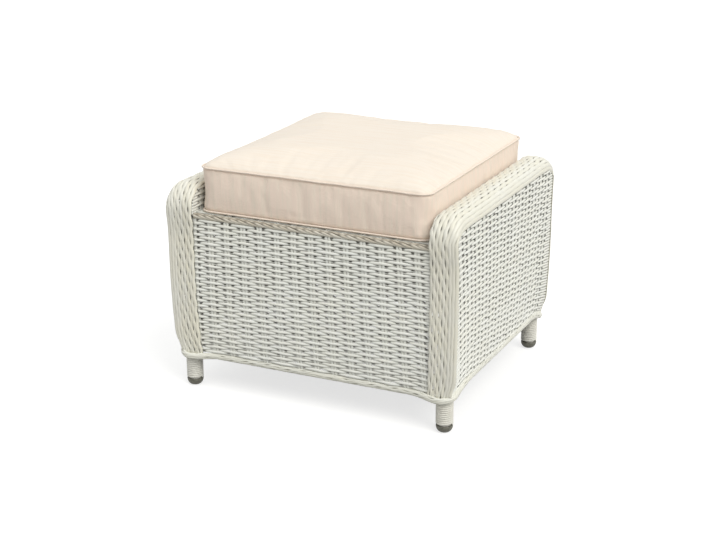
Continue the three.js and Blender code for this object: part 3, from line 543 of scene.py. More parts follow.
def weave(name, node_name, surface, lay, levels, reach, stake_steps, stake_foot, stake_head, samples, seed,
          width=weave_width, wave=weave_wave, stakes_wide=stake_width, open_holes=close_holes):
    """A plain weave on a surface of (place along, level). `lay` gives the middle place and the gap of
    the stakes at a level: a place lies (place - middle) / gap steps along. Rows lie at the levels and
    reach to both sides; the front share of a row is cos(pi (steps + row)), so that it is in front of
    every other stake, and it stands off the surface by the wave times 1 - 2 ((1 - front) / 2)^1.5.
    Past the last stake the rows lie level. Where a row dives beside a stake it is narrower and sags,
    which leaves a hole above it; there the row is painted dark as shade, the more so the more open the
    weave is, with a painted shadow on its upper side. The holes of a close weave are larger, and more
    darkly painted, at the ends of the rows and under the top, and smaller near the foot. Stakes are
    pairs of strands from foot level to head level. Both stand for one packed skin."""
    rng = np.random.default_rng(seed)
    rows = len(levels)
    place = reach[:, None] * np.linspace(-1.0, 1.0, samples)
    level = levels[:, None] + slow_wave(rng, rows, samples, 3.0, 17.0) * level_wander
    middle, gap = lay(level)
    phase = (place - middle) / gap + slow_wave(rng, rows, samples, 2.0, 9.0) * place_wander
    front = np.cos(math.pi * (phase + np.arange(rows)[:, None]))
    past_last = ease(np.maximum(stake_steps[0] - phase, phase - stake_steps[-1]), 0.3, 0.6)
    front = front + (0.2 - front) * past_last
    size = 1 + slow_wave(rng, rows, samples, 2.0, 12.0) * size_wander + 0.05 * np.maximum(front, 0.0)
    uneven = 0.85 + 0.25 * slow_wave(rng, rows, samples, 3.0, 14.0)
    beside_stake = np.exp(-(((front - hole_front) / hole_spread) ** 2))
    hole = np.clip(1.5 * beside_stake, 0.0, 1.0) * np.clip(uneven, 0.3, 1.0)
    worn_in = ease(levels, levels[0] + row_pitch, levels[0] + row_pitch * 16)[:, None]
    hole = hole * np.clip(0.6 + 0.4 * worn_in + open_holes - close_holes, 0.0, 1.0)
    at_end = ease(np.abs(place), reach[:, None] - row_end_from, reach[:, None] - row_end_to)
    at_top = ease(levels, levels[-1] - row_pitch * 2.5, levels[-1])[:, None]
    gaping = np.maximum(at_end, at_top) * (open_holes < 0.5)
    level = level - (0.8 + 0.5 * open_holes) * hole * (1 + 0.7 * gaping)
    facing = surface_facing(surface, place, level)
    off = wave * (1 - 2 * ((1 - front) / 2) ** 1.5)
    row_centres = surface(place, level) + facing * off[..., None]
    row_width = width * size * (1 - (0.24 + 0.2 * open_holes) * hole)
    stake_share = np.linspace(0.0, 1.0, 40)
    foot, head = (np.broadcast_to(end, len(stake_steps))[:, None] for end in (stake_foot, stake_head))
    stake_level = foot + (head - foot) * stake_share
    middle, gap = lay(stake_level)
    wander = slow_wave(rng, len(stake_steps), 40, 1.0, 5.0) * stake_wander
    stake_place = middle + stake_steps[:, None] * gap + wander
    stake_place = np.concatenate([stake_place - stake_half_gap, stake_place + stake_half_gap])
    stake_place = np.clip(stake_place, 1.5 - reach.max(), reach.max() - 1.5)
    stake_level = np.tile(stake_level, (2, 1))
    stake_facing = surface_facing(surface, stake_place, stake_level)
    stake_centres = surface(stake_place, stake_level) + stake_facing * stake_forward
    tones = rng.random(rows) ** 2
    # Painted shade on the rows: dark in the holes, on their sides, backs and undersides, with a painted
    # shadow of the row above on their upper side.
    rows_piece = strands(name + "_rows", row_centres, facing, row_width, weave_thickness, "body",
                         weave_finish, (open_holes + 0.5 * gaping) * hole, tones,
                         valley_shade=row_valley_shade, pocket_shadow=hole, under=weave_underside_shade)
    stakes_piece = strands(name + "_stakes", stake_centres, stake_facing, stakes_wide, stake_thickness,
                           "body", weave_finish, stake_painted_shade, rng.random(len(stake_place)) ** 2,
                           valley_shade=stake_valley_shade)
    for piece in (rows_piece, stakes_piece):
        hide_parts(node_name)


def front_surface(turn):
    """The front panel's middle surface, or the back's where it is turned by half a turn. A level is
    the height at the middle; near the legs the lower levels dip with the border, by (1 - share)^2."""

    def surface(x, level):
        share = np.clip((level - front_foot_z) / (panel_top - front_foot_z), 0.0, 1.0)
        z = level + (front_border_z(x) - front_foot_z) * (1 - share) ** 2
        y = -(half_depth(z) - panel_recess - weave_middle)
        return np.stack([x * turn, y * turn, z], axis=-1)

    return surface


def front_lay(level):
    """Middle place and gap of the front's stakes: they lean to the right and spread a little downwards."""
    below = 315.0 - level
    return 5.2 + 0.028 * below, 35.4 + 0.0045 * below


front_levels = np.arange(front_foot_z + weave_foot + 2.0, panel_top + 4.0, row_pitch)
front_reach = np.minimum(arm_inner(front_levels) + 0.5, weave_end_reach)
for end, turn, seed in (("front", 1.0, 11), ("back", -1.0, 12)):
    weave(end + "_panel", end + "_weave", front_surface(turn), front_lay, front_levels, front_reach,
          np.arange(-7.0, 8.0), front_foot_z + 3.0, panel_top + 3.0, 14 * weave_samples + 1, seed)

# Outer sides of the body. The same weave on stakes a little further apart, which draw together towards
# the foot to pass between the legs. The rows end at the corner of the arm, where the band covers them.
side_open_holes = 1.0
side_row_width = 5.2
side_stake_gap = 39.0
side_middle_place = -8.0
side_middle = 2.9
side_levels_top = 386.0
band_flare = 5.0
arm_top = 414.0
arm_corner_radius = 50.0
arm_corner_z = arm_top - arm_corner_radius
outer_drop = 28.0
side_corner_y = 210.5
side_reach_corner = 44.7
side_rise_corner = 21.7


def band_depth(z):
    """Half depth of the bands: the body's, flaring out by 5 near the arm tops."""
    return half_depth(z) + band_flare * ease(z, 310.0, 365.0)


def side_reach(z):
    """How far a row of the side reaches: to the band, or to the arm's round corner near the top."""
    turn = np.clip((z - arm_corner_z) / side_rise_corner, 0.0, 0.995)
    round_reach = side_corner_y + side_reach_corner * np.sqrt(1 - turn * turn)
    return np.where(z > arm_corner_z, round_reach, band_depth(z) - 5.3)


def side_surface(turn):
    """The right side's middle surface, or the left's where it is turned by half a turn."""

    def surface(y, level):
        share = (level - side_foot_z) / (side_levels_top - side_foot_z)
        share = np.clip(share, 0.0, 1.0)
        z = level + (side_border_z(y) - side_foot_z) * (1 - share) ** 1.3
        x = half_width(z) - side_middle - foot_tuck(y, z)
        return np.stack([x * turn, y * turn, z], axis=-1)

    return surface


def side_lay(level):
    """Middle place and gap of the side's stakes: the gap shrinks evenly towards the foot."""
    return side_middle_place + 0 * level, side_stake_gap - 0.0195 * (375.0 - level)


def even_lay(level):
    """Stakes at the side's gap all the way, with the middle halfway between two of them."""
    return side_stake_gap / 2 + 0 * level, side_stake_gap + 0 * level


side_levels = np.arange(side_foot_z + weave_foot - 1.2, 385.6, row_pitch)
side_steps = np.arange(-6.0, 7.0)
side_places = np.abs(side_steps * side_stake_gap + side_middle_place)
side_past_corner = np.clip((side_places - side_corner_y) / side_reach_corner, 0.0, 0.98)
side_heads = arm_corner_z + side_rise_corner * np.sqrt(1 - side_past_corner**2)
for side, turn, seed in (("right", 1.0, 21), ("left", -1.0, 22)):
    weave("outer_side_" + side, "outer_weave_" + side, side_surface(turn), side_lay, side_levels,
          side_reach(side_levels), side_steps, side_foot_z + 3.0, side_heads,
          13 * weave_samples + 1, seed, width=side_row_width, open_holes=side_open_holes)

# Inner sides of the arms. The weave goes on inside the arms, from the seat deck up to the bands.
inner_foot = 353.0
inner_head = 402.0
inner_reach_corner = 40.5
inner_rise_corner = 39.7


def inner_surface(turn):
    """The right arm's inner middle surface, facing the cushion, or the left's turned by half a turn."""

    def surface(place, level):
        x = arm_inner(level) + side_middle
        return np.stack([x * turn, -place * turn, level], axis=-1)

    return surface


inner_levels = np.arange(inner_foot + 2.8, 403.0, row_pitch)
inner_turn = np.clip((inner_levels - arm_corner_z) / inner_rise_corner, 0.0, 0.97)
inner_reach = side_corner_y + inner_reach_corner * np.sqrt(1 - inner_turn**2)
for side, turn, seed in (("right", 1.0, 31), ("left", -1.0, 32)):
    weave("inner_side_" + side, "inner_weave_" + side, inner_surface(turn), even_lay, inner_levels,
          inner_reach, np.arange(-6.0, 6.0), inner_foot, inner_head, 12 * weave_samples + 1, seed)

# Arm bands. Lengthwise strands run up the front of each arm, over its top and down the back. They lean
# to and fro over hidden cross strands, so that only staggered slits show. The outermost lie plain.
band_strands = 9
band_samples = 330
band_samples_across = 61
band_cross_gap = 16.0
band_thickness = 3.2
band_wave = 0.5
band_lean = 0.85
band_overlap = 1.13
band_wander = 0.006
# Painted shade in the slits that open between the leaning strands.
band_slit_shade = 0.6
band_middle = 1.5
band_cross_depth = 2.6
band_cross_width = 5.0
band_cross_thickness = 1.4
band_face_squareness = 5.0
band_top_squareness = 2.0
face_drop = 5.0
inner_drop = 10.0
crown_share = 0.45
arm_width = 53.5
# The band strand's own colour, its painted shade colour, and a warmer tone.
band_colours = ((0.845, 0.84, 0.765), (0.16, 0.15, 0.10), (0.79, 0.76, 0.62))
band_foot = 70.5
face_length = arm_corner_z - band_foot
bend_length = arm_corner_radius * math.pi / 2
band_top_length = 2 * side_corner_y
band_length = 2 * (face_length + bend_length) + band_top_length


def arm_outline(run, drop_y, drop_z):
    """Depth and height of the arm's outline, seen from the side, at a length `run` from its foot at
    the front: up the face, round a corner of radius 50, along the top, and down the back again. The
    drops move it inwards: the corner becomes an oval with half axes of 50 less each drop."""
    mirrored = run > band_length / 2
    near = np.where(mirrored, band_length - run, run)
    face_z = band_foot + np.minimum(near, face_length)
    angle = np.clip((near - face_length) / arm_corner_radius, 0.0, math.pi / 2)
    past = np.maximum(0.0, near - face_length - bend_length)
    corner_y = side_corner_y + (arm_corner_radius - drop_y) * np.cos(angle) - past
    y = np.where(near <= face_length, band_depth(face_z) - drop_y, corner_y)
    z = np.where(near <= face_length, face_z,
                 arm_corner_z + (arm_corner_radius - drop_z) * np.sin(angle))
    return np.where(mirrored, y, -y), z


def band_section(run):
    """Points across the right band at each run, from its inner edge over the crown to its outer edge.
    With n going from 5 on the faces to 2 on the arm top, a point at angle a from the crown lies
    sin(a)^(2/n) of the way out to the edge and cos(a)^(2/n) of the way up from the edge to the crown."""
    angle = np.linspace(-math.pi / 2, math.pi / 2, band_samples_across)
    near = np.minimum(run, band_length - run)[:, None]
    turn = np.clip((near - face_length) / bend_length, 0.0, 1.0)
    power = 2 / (band_face_squareness + (band_top_squareness - band_face_squareness) * turn)
    spread = np.sin(np.abs(angle)) ** power
    rise = np.maximum(0.0, np.cos(angle)) ** power
    inner = angle < 0
    edge_reach = np.where(inner, arm_width * crown_share, arm_width * (1 - crown_share))
    from_inner = arm_width * crown_share + np.sign(angle) * edge_reach * spread
    crown_y, crown_z = arm_outline(run[:, None], 0.0, 0.0)
    edge_y, edge_z = arm_outline(run[:, None], face_drop, np.where(inner, inner_drop, outer_drop))
    y = edge_y + (crown_y - edge_y) * rise
    z = edge_z + (crown_z - edge_z) * rise
    from_inner = from_inner * (1 - foot_tuck(leg_y, edge_z) / arm_width)
    dip = (foot_border_z(arm_inner(70.0) + from_inner) - border_leg_z) * np.clip(1 - near / 60, 0, 1) ** 2
    return np.stack([arm_inner(edge_z) + from_inner, y, z + dip], axis=-1)


def grid_facing(grid):
    """Unit normals of a grid of points: the cross product of its differences across and along."""
    return unit(np.cross(np.gradient(grid, axis=1), np.gradient(grid, axis=0)))


def even_across(grid, values, shares):
    """Values of each row of a grid of points at given shares of that row's length. Rows are laid end
    to end, so that one interpolation serves them all."""
    length = run_lengths(grid)
    offset = 2.0 * np.arange(len(grid))[:, None]
    known = (length / length[:, -1:] + offset).ravel()
    wanted = (shares + offset).ravel()
    shape = (len(grid), shares.shape[-1])
    found = [np.interp(wanted, known, values[..., axis].ravel()).reshape(shape) for axis in range(3)]
    return np.stack(found, axis=-1), length[:, -1]


band_run = np.linspace(0.0, band_length, band_samples)
band_grid = band_section(band_run)
band_out = grid_facing(band_grid)
band_grid = band_grid - band_out * band_middle
strand_shares = (np.arange(band_strands) + 0.5) / band_strands
band_rng = np.random.default_rng(41)
band_finish = strand_finish("band_strand", *band_colours)
cross_run = np.arange(band_cross_gap * 0.75, band_length, band_cross_gap)
cross_grid = band_section(cross_run)
cross_out = grid_facing(cross_grid)
cross_shares = np.broadcast_to(np.linspace(0.03, 0.97, 26), (len(cross_run), 26))
cross_deep = cross_grid - cross_out * (band_middle + band_cross_depth)
cross_centres, _ = even_across(cross_grid, cross_deep, cross_shares)
cross_facing, _ = even_across(cross_grid, cross_out, cross_shares)
for side, turn in (("right", 1.0), ("left", -1.0)):
    wander = slow_wave(band_rng, band_strands, band_samples, 4.0, 30.0).T * band_wander
    shares = np.clip(strand_shares + wander, 0.045, 0.955)
    centres, widths = even_across(band_grid, band_grid, shares)
    facing, _ = even_across(band_grid, band_out, shares)
    uneven = slow_wave(band_rng, band_strands, band_samples, 3, 20).T * 0.09
    turn_share = band_run[:, None] / band_cross_gap + uneven + np.arange(band_strands) + 0.25
    plain = np.array([0.0] * (band_strands - 3) + [0.6, 0.85, 1.0])
    front = np.cos(math.pi * turn_share) * (1 - plain) + 0.9 * plain
    lean = np.sin(math.pi * turn_share) * (1 - plain) * band_lean
    sideways = np.cross(unit(facing), unit(np.gradient(centres, axis=0)))
    centres = centres + facing * (front * band_wave)[..., None] + sideways * lean[..., None]
    strand_widths = (widths / band_strands)[:, None] * (band_overlap + 0.05 * front)
    slit = np.abs(lean) / band_lean
    uneven = 0.5 + 0.6 * slow_wave(band_rng, band_strands, band_samples, 6, 26).T
    slit = np.clip((slit - 0.6) / 0.3, 0.0, 1.0) * np.clip(uneven, 0.0, 1.0)
    mirror = np.array([turn, turn, 1.0])
    # Painted shade: a little on the sides and backs of every band strand, and more where the slits open.
    band = strands("arm_band_strands_" + side, centres.transpose(1, 0, 2) * mirror,
                   unit(facing).transpose(1, 0, 2) * mirror, strand_widths.T, band_thickness, "body",
                   band_finish, 0.0, band_rng.random(band_strands) ** 2,
                   valley_shade=0.1 + band_slit_shade * slit.T)
    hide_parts("arm_band_" + side)
    # The hidden cross strands are painted wholly in the shade colour, so that the slits show dark.
    cross = strands("arm_band_cross_" + side, cross_centres * mirror, unit(cross_facing) * mirror,
                    band_cross_width, band_cross_thickness, "body", band_finish, 1.0)
    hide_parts("arm_band_" + side)

# Top borders. At the front and back each strand of the stakes turns over at the rim, comes forward from
# under the cushion and steps down to the right past the next two pairs of stakes before it tucks under.
rim_z = 352.7
rim_height = 10.6
rim_depth = 11.0
rim_proud = 2.0
rim_half_length = 242.4
rim_reach_stakes = 2.1
rim_width = 4.5
rim_thickness = 3.5
rim_samples = 44
rim_jitter = 1.2
# Painted shade in the valleys between the rim strands.
rim_valley_shade = 0.5
# The rim strand's own colour, a brown painted shade colour for the cushion's shadow and the tucks, and a
# warmer tone.
rim_colours = ((0.90, 0.865, 0.76), (0.12, 0.095, 0.06), (0.66, 0.59, 0.46))
rim_finish = strand_finish("rim_strand", *rim_colours)
rim_face_y = half_depth(rim_z) - panel_recess + rim_proud
rim_rng = np.random.default_rng(51)


def rim_lay(starts, length):
    """Strands of the rim from where they come forward. At share t a strand is length t further to the
    right; it goes round half an oval from the top behind to the foot in front, at the angle
    (-0.28 + 1.2 e) pi from the top, with e of 0.25 t + 0.75 ease(t), and so steps down in an S."""
    low = np.clip((-rim_half_length - starts) / length, 0.0, 1.0)
    high = np.clip((rim_half_length - starts) / length, 0.0, 1.0)
    share = low[:, None] + (high - low)[:, None] * np.linspace(0.0, 1.0, rim_samples)
    turn = (-0.28 + 1.2 * (0.25 * share + 0.75 * ease(share, 0.0, 1.0))) * math.pi
    x = starts[:, None] + length * share
    out = (rim_depth - rim_thickness) / 2 * np.sin(turn)
    up = (rim_height - rim_thickness) / 2 * np.cos(turn)
    y = -(rim_face_y - rim_depth / 2 + out)
    facing = np.stack([0 * x, -np.sin(turn), np.cos(turn)], axis=-1)
    # Painted shade along each strand: darker where it comes from under the cushion, for the cushion's
    # shadow, at its tucked end, and in a dark band partway along.
    painted_shade_sum = 0.45 * (1 - share) + np.clip((share - 0.92) / 0.08, 0.0, 1.0)
    painted_shade_sum = painted_shade_sum + 0.55 * np.exp(-(((share - 0.45) / 0.05) ** 2))
    return np.stack([x, y, rim_z + up], axis=-1), facing, np.clip(painted_shade_sum, 0.0, 1.0)


rim_starts = (np.arange(-20, 14) / 2 + 0.35) * stake_gap
for end, turn in (("front", 1.0), ("back", -1.0)):
    rim_length = rim_reach_stakes * stake_gap
    rim_turned = np.array([turn, turn, 1.0])
    rim_offsets = rim_starts + rim_rng.normal(0.0, rim_jitter, len(rim_starts))
    rim_offsets = rim_offsets[rim_offsets + rim_length > 6.0 - rim_half_length]
    rim_centres, rim_facing, rim_painted_shade = rim_lay(rim_offsets, rim_length)
    rim = strands("rim_strands_" + end, rim_centres * rim_turned, rim_facing * rim_turned, rim_width,
                  rim_thickness, "body", rim_finish, 0.9 * rim_painted_shade,
                  rim_rng.random(len(rim_offsets)), valley_shade=rim_valley_shade)
    rim_x = np.linspace(-rim_half_length, rim_half_length, 12)
    rim_middle = np.stack([rim_x, 0 * rim_x - rim_face_y + rim_depth / 2, 0 * rim_x + rim_z], axis=1)
    rim_out = np.broadcast_to([0.0, -1.0, 0.0], rim_middle.shape)
    # A core roll behind the strands, painted wholly in the shade colour so that the gaps between the strands
    # show dark.
    rim_core = strands("rim_core_" + end, (rim_middle * rim_turned)[None], (rim_out * rim_turned)[None],
                       rim_height - rim_thickness, rim_depth - rim_thickness, "body",
                       rim_finish, 1.0)
    for rim_piece in (rim, rim_core):
        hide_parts("top_border_" + end)

# Seat deck. A woven sheet stretched over the rails, level with the borders; the cushion hides it
# until it is lifted off.
deck_half_x = 242.0
deck_half_y = 240.6
deck_middle_z = 355.6
deck_pitch = 7.6
deck_row_width = 7.2
deck_wave = 1.2
deck_stake_width = 5.5


def deck_surface(x, level):
    """The flat deck: a level is the place from front to back."""
    return np.stack([x, level, deck_middle_z + 0 * x], axis=-1)


def deck_lay(level):
    """The deck's stakes line up with those of the front, at an even gap."""
    return 0 * level, stake_gap + 0 * level


deck_levels = np.arange(-deck_half_y + 4.0, deck_half_y - 3.0, deck_pitch)
deck_reach = np.full(len(deck_levels), deck_half_x)
weave("deck", "seat_deck", deck_surface, deck_lay, deck_levels, deck_reach, np.arange(-6.0, 7.0),
      -deck_half_y, deck_half_y, 14 * 6 + 1, 61, width=deck_row_width, wave=deck_wave,
      stakes_wide=deck_stake_width)

# Cushion. A foam block in a cream polyester cover: a crowned top panel, a boxing strip round the
# sides with the zip across the back, and a flat underside, sewn together over piping cord.
cushion_half_x = 237.5
cushion_half_y = 242.5
cushion_corner = 26.0
cushion_floor = 358.6
lower_seam = 361.3
upper_seam = 445.0
seam_inset = 3.0
cushion_rise = 22.5
cushion_sides = 320
swelling_kept = 0.6
swelling_most = (9.0, 5.0)
zip_seat = 6.4
seam_groove = 1.3
pucker_waves = (9.0, 13.0, 17.0, 26.0, 41.0)
thread_waves = 420.0
cloth_slubs_flat = ((14.0, 260.0, 60.0), 3.0, 0.42, 0.75)
cloth_slubs_upright = ((190.0, 190.0, 9.0), 3.0, 0.42, 0.75)
zip_z = 403.15
cloth_colour = (0.88, 0.80, 0.695)
cloth_slub_colour = (0.86, 0.755, 0.63)
# Painted light: the boxing round the sides gets a warmer, peach copy of the cloth's colour, standing for
# light bounced into and through the cloth; it is the same cloth as the top.
cloth_side_painted_tint = (0.925, 0.775, 0.655)


def rounded_outline(count):
    """The cushion's outline, seen from above, as the centres of its corner arcs and the directions
    out from them, spread evenly by length: a point at an inset is core + (26 - inset) direction."""
    fan = np.radians(np.linspace(0.0, 90.0, 25))
    angle = np.concatenate([fan + quarter * math.pi / 2 for quarter in range(4)])
    direction = np.stack([np.cos(angle), np.sin(angle)], axis=1)
    reach = np.array([cushion_half_x - cushion_corner, cushion_half_y - cushion_corner])
    signs = np.array([[1, 1], [-1, 1], [-1, -1], [1, -1]])
    core = np.repeat(signs * reach, 25, axis=0)
    both = np.concatenate([core, direction], axis=1)
    found = even_run(core + cushion_corner * direction, count, True, both)
    return found[:, :2], found[:, 2:]


def edge_inset(x, y):
    """Distance from a point in to the cushion's outline: the outline's round-box distance, turned."""
    qx = np.abs(x) - (cushion_half_x - cushion_corner)
    qy = np.abs(y) - (cushion_half_y - cushion_corner)
    outside = np.hypot(np.maximum(qx, 0.0), np.maximum(qy, 0.0))
    return cushion_corner - outside - np.minimum(np.maximum(qx, qy), 0.0)


def crown(share):
    """Rise of the top panel at a share of its size: steep by the seam and nearly flat in the middle."""
    return cushion_rise * (1 - share**6) ** 0.6


ring_share = np.concatenate([[0.02], np.linspace(0.1, 0.9, 9), [0.95, 0.975, 0.99]])
side_share = np.linspace(0.0, 1.0, 15)
side_inset = seam_inset + 2.0 * np.sin(math.pi * side_share)
side_z = lower_seam + (upper_seam - lower_seam) * side_share
crown_z = upper_seam + 0.6 + crown(ring_share[::-1])
cover_inset = np.concatenate([np.full(13, 6.5), [seam_inset + 0.5], side_inset, np.full(13, 6.3)])
cover_z = np.concatenate([np.full(13, cushion_floor), [lower_seam - 1.2], side_z, crown_z])
cover_share = np.concatenate([ring_share, np.ones(16), ring_share[::-1]])
core, direction = rounded_outline(cushion_sides)
cover_xy = (core + (cushion_corner - cover_inset[:, None, None]) * direction) * cover_share[:, None, None]
cover_height = np.broadcast_to(cover_z[:, None, None], cover_xy.shape[:2] + (1,))
cover_points = np.concatenate([cover_xy, cover_height], axis=-1)[:, ::-1]
cloth_finish, cloth_tree, cloth_shader = new_finish("cushion_cloth", 0.9)
cover_quads = ring_faces(1, len(cover_z), cushion_sides, False)
cover = make_piece("cushion_cover", cover_points.reshape(-1, 3), cover_quads, "cushion", cloth_finish)


def finish_modifiers(piece):
    """Puts the result of a piece's modifiers into its mesh and takes the modifiers off."""
    bpy.context.view_layer.update()
    evaluated = piece.evaluated_get(bpy.context.evaluated_depsgraph_get())
    result = bpy.data.meshes.new_from_object(evaluated)
    piece.modifiers.clear()
    piece.data = result


def vertex_array(mesh, what):
    """Vertex places or normals of a mesh as an array, places in millimetres."""
    values = np.empty(len(mesh.vertices) * 3, np.float32)
    mesh.vertices.foreach_get(what, values)
    return values.reshape(-1, 3).astype(float) * (1000.0 if what == "co" else 1.0)


def set_places(mesh, points):
    """Vertex places in millimetres, put back into a mesh."""
    mesh.vertices.foreach_set("co", (points * 0.001).astype(np.float32).ravel())
    mesh.update()


def to_seams(points):
    """Inset of points from the outline, and their distances to the upper and to the lower seam."""
    inset = edge_inset(points[:, 0], points[:, 1])
    upper, lower = (np.hypot(inset - seam_inset, points[:, 2] - seam) for seam in (upper_seam, lower_seam))
    return inset, upper, lower


remesh = cover.modifiers.new("even_grid", "REMESH")
remesh.mode = "VOXEL"
remesh.voxel_size = 0.006
finish_modifiers(cover)
start = vertex_array(cover.data, "co")
inset, to_upper, to_lower = to_seams(start)
by_zip = (start[:, 1] > 200.0) & (np.abs(start[:, 2] - zip_z) < 9.0) & (inset < 12.0)
held = np.clip(1.6 - np.minimum(to_upper, to_lower) / 6.0, 0.0, 1.0)
held = np.maximum(held, np.where(by_zip, 1.0, 0.0))
held = np.maximum(held, np.where(start[:, 2] < lower_seam, 1.0, 0.0))
group = cover.vertex_groups.new(name="held")
for step in range(1, 11):
    chosen = np.nonzero(np.round(held * 10) == step)[0]
    group.add(chosen.tolist(), step / 10, "REPLACE")
cloth = cover.modifiers.new("cloth", "CLOTH")
cloth.settings.quality = 5
cloth.settings.mass = 0.3
cloth.settings.use_pressure = True
cloth.settings.uniform_pressure_force = 4.0
cloth.settings.shrink_min = -0.015
cloth.settings.vertex_group_mass = "held"
cloth.settings.effector_weights.gravity = 0.0
cloth.collision_settings.use_collision = False
cloth.point_cache.frame_start = 1
cloth.point_cache.frame_end = 20
for moment in range(1, 21):
    bpy.context.scene.frame_set(moment)
finish_modifiers(cover)
bpy.context.scene.frame_set(1)
swollen = vertex_array(cover.data, "co")
moved = (swollen - start) * swelling_kept
distance = np.linalg.norm(moved, axis=1, keepdims=True)
cap = np.where(start[:, 2:] > upper_seam + 3.0, *swelling_most)
set_places(cover.data, start + moved * np.minimum(1.0, cap / np.maximum(distance, 1e-6)))
cover.vertex_groups.clear()
finer = cover.modifiers.new("finer", "SUBSURF")
finer.levels = 1
finer.render_levels = 1
finish_modifiers(cover)

places = vertex_array(cover.data, "co")
normals = vertex_array(cover.data, "normal")
_, to_upper, to_lower = to_seams(places)
around = np.where(np.abs(places[:, 0]) / cushion_half_x > np.abs(places[:, 1]) / cushion_half_y,
                  places[:, 1], places[:, 0])
on_side = 1 - ease(places[:, 2], upper_seam - 6, upper_seam)
on_side = ease(places[:, 2], lower_seam, lower_seam + 6) * on_side
pucker_rng = np.random.default_rng(71)
pucker = np.zeros(len(places))
for wavelength in pucker_waves:
    bend = 1.5 * np.sin(places[:, 2] / 23.0 + pucker_rng.random() * 6)
    pucker += np.sin(2 * math.pi * ((around + bend) / wavelength + pucker_rng.random())) * wavelength**0.5
pucker = pucker / 10.0
near_seam = np.exp(-np.minimum(to_upper, to_lower) / 16.0)
lift = pucker * on_side * (0.12 + 0.45 * near_seam)
lift -= seam_groove * np.exp(-((to_upper / 4.0) ** 2)) + seam_groove * np.exp(-((to_lower / 4.0) ** 2))
lift += 0.22 * pucker * np.exp(-to_upper / 10.0) * (places[:, 2] > upper_seam)
lift = np.where(places[:, 2] < lower_seam - 0.5, 0.0, lift)
places = places + normals * lift[:, None]
zip_groove = 1 - ease(np.abs(places[:, 2] - zip_z), 2.8, 7.5)
zip_groove = zip_groove * ease(places[:, 1] - cushion_half_y, -16.0, -11.5)
sunk = np.maximum(zip_seat - edge_inset(places[:, 0], places[:, 1]), 0.0) * zip_groove
level_normals = unit(normals * [1.0, 1.0, 0.0] + [0.0, 1e-6, 0.0])
places = places - level_normals * sunk[:, None]
places[:, 2] = np.maximum(places[:, 2], cushion_floor - 0.2)
set_places(cover.data, places)
cover.data.polygons.foreach_set("use_smooth", np.ones(len(cover.data.polygons), dtype=bool))
boxing_mark = cover.data.attributes.new("boxing", "FLOAT", "POINT")
below_seam = 1 - ease(places[:, 2], upper_seam - 1, upper_seam + 2)
boxing_mark.data.foreach_set("value", below_seam.astype(np.float32))
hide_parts("cushion_foam", "cushion_top_panel", "cushion_bottom_panel", "cushion_boxing",
            "zip_gusset_lower", "zip_gusset_upper")


# Plain polyester: a fine over-and-under of threads, slubs along them, and a soft sheen.
slub_flat = mottle(cloth_tree, "Object", *cloth_slubs_flat)
slub_upright = mottle(cloth_tree, "Object", *cloth_slubs_upright)
on_boxing = add_node(cloth_tree, "Attribute", {}, attribute_name="boxing")["Fac"]
top_tone = blend(cloth_tree, slub_flat, cloth_colour, cloth_slub_colour)
# The sides take the painted warm tint of bounced light; the slubs are the cloth's own.
side_painted_tone = blend(cloth_tree, slub_upright, cloth_side_painted_tint, cloth_slub_colour)
cloth_tone = blend(cloth_tree, on_boxing, top_tone, side_painted_tone)
cloth_tree.links.new(cloth_tone, cloth_shader.inputs["Base Color"])
cloth_shader.inputs["Sheen Weight"].default_value = 0.25
cloth_shader.inputs["Sheen Roughness"].default_value = 0.5
threads = []
for axis in ("X", "Y", "Z"):
    place = add_node(cloth_tree, "TexCoord", {})["Object"]
    waves = {"Vector": place, "Scale": thread_waves, "Distortion": 1.2}
    threads.append(add_node(cloth_tree, "TexWave", waves, bands_direction=axis)["Fac"])
thread_height = add_node(cloth_tree, "Math", {0: threads[0], 1: threads[1]})[0]
thread_height = add_node(cloth_tree, "Math", {0: thread_height, 1: threads[2]})[0]
emboss(cloth_tree, cloth_shader, thread_height, 0.00008)

# Piping. A cord sewn into a strip of the same cloth runs round both seams of the cushion.
piping_radius = 1.8
piping_sides = 10
piping_samples = 480
piping_section = np.array([[math.cos(a), math.sin(a)] for a in np.radians(np.arange(piping_sides) * 36.0)])
piping_tones = ((0.88, 0.76, 0.65), (0.77, 0.67, 0.565))
piping_twill = ((260.0, 6.0, 1.0), 2.0, 0.35, 0.7)
piping_finish = mottled_finish("piping_cloth", piping_tones, piping_twill, (0.85, 0.85), 0.0002,
                               source="UV", more=[("Sheen Weight", 0.2)])
piping_core, piping_direction = rounded_outline(piping_samples)
piping_rng = np.random.default_rng(81)
piping_waves = (3, 7, 12, 19, 33)
piping_seams = (("upper", upper_seam, "piping_top"), ("lower", lower_seam, "piping_bottom"))
for level, seam_z, node_name in piping_seams:
    share = np.arange(piping_samples) / piping_samples
    wobble = sum(np.sin(2 * math.pi * (n * share + piping_rng.random())) * 0.22 for n in piping_waves)
    wobble = wobble * (1.0 if level == "upper" else 0.15)
    line = piping_core + (cushion_corner - seam_inset + 0.25 * wobble[:, None]) * piping_direction
    line = np.concatenate([line, (seam_z + wobble * 0.8)[:, None]], axis=1)
    line = line[::-1]
    outward = np.concatenate([piping_direction, np.zeros((piping_samples, 1))], axis=1)[::-1]
    thickness = 2 * piping_radius * (1 + 0.03 * wobble)
    piping = strands("piping_" + level, line[None], outward[None], thickness[None], thickness[None],
                     "cushion", piping_finish, loop=True, section=piping_section)
    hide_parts(node_name)

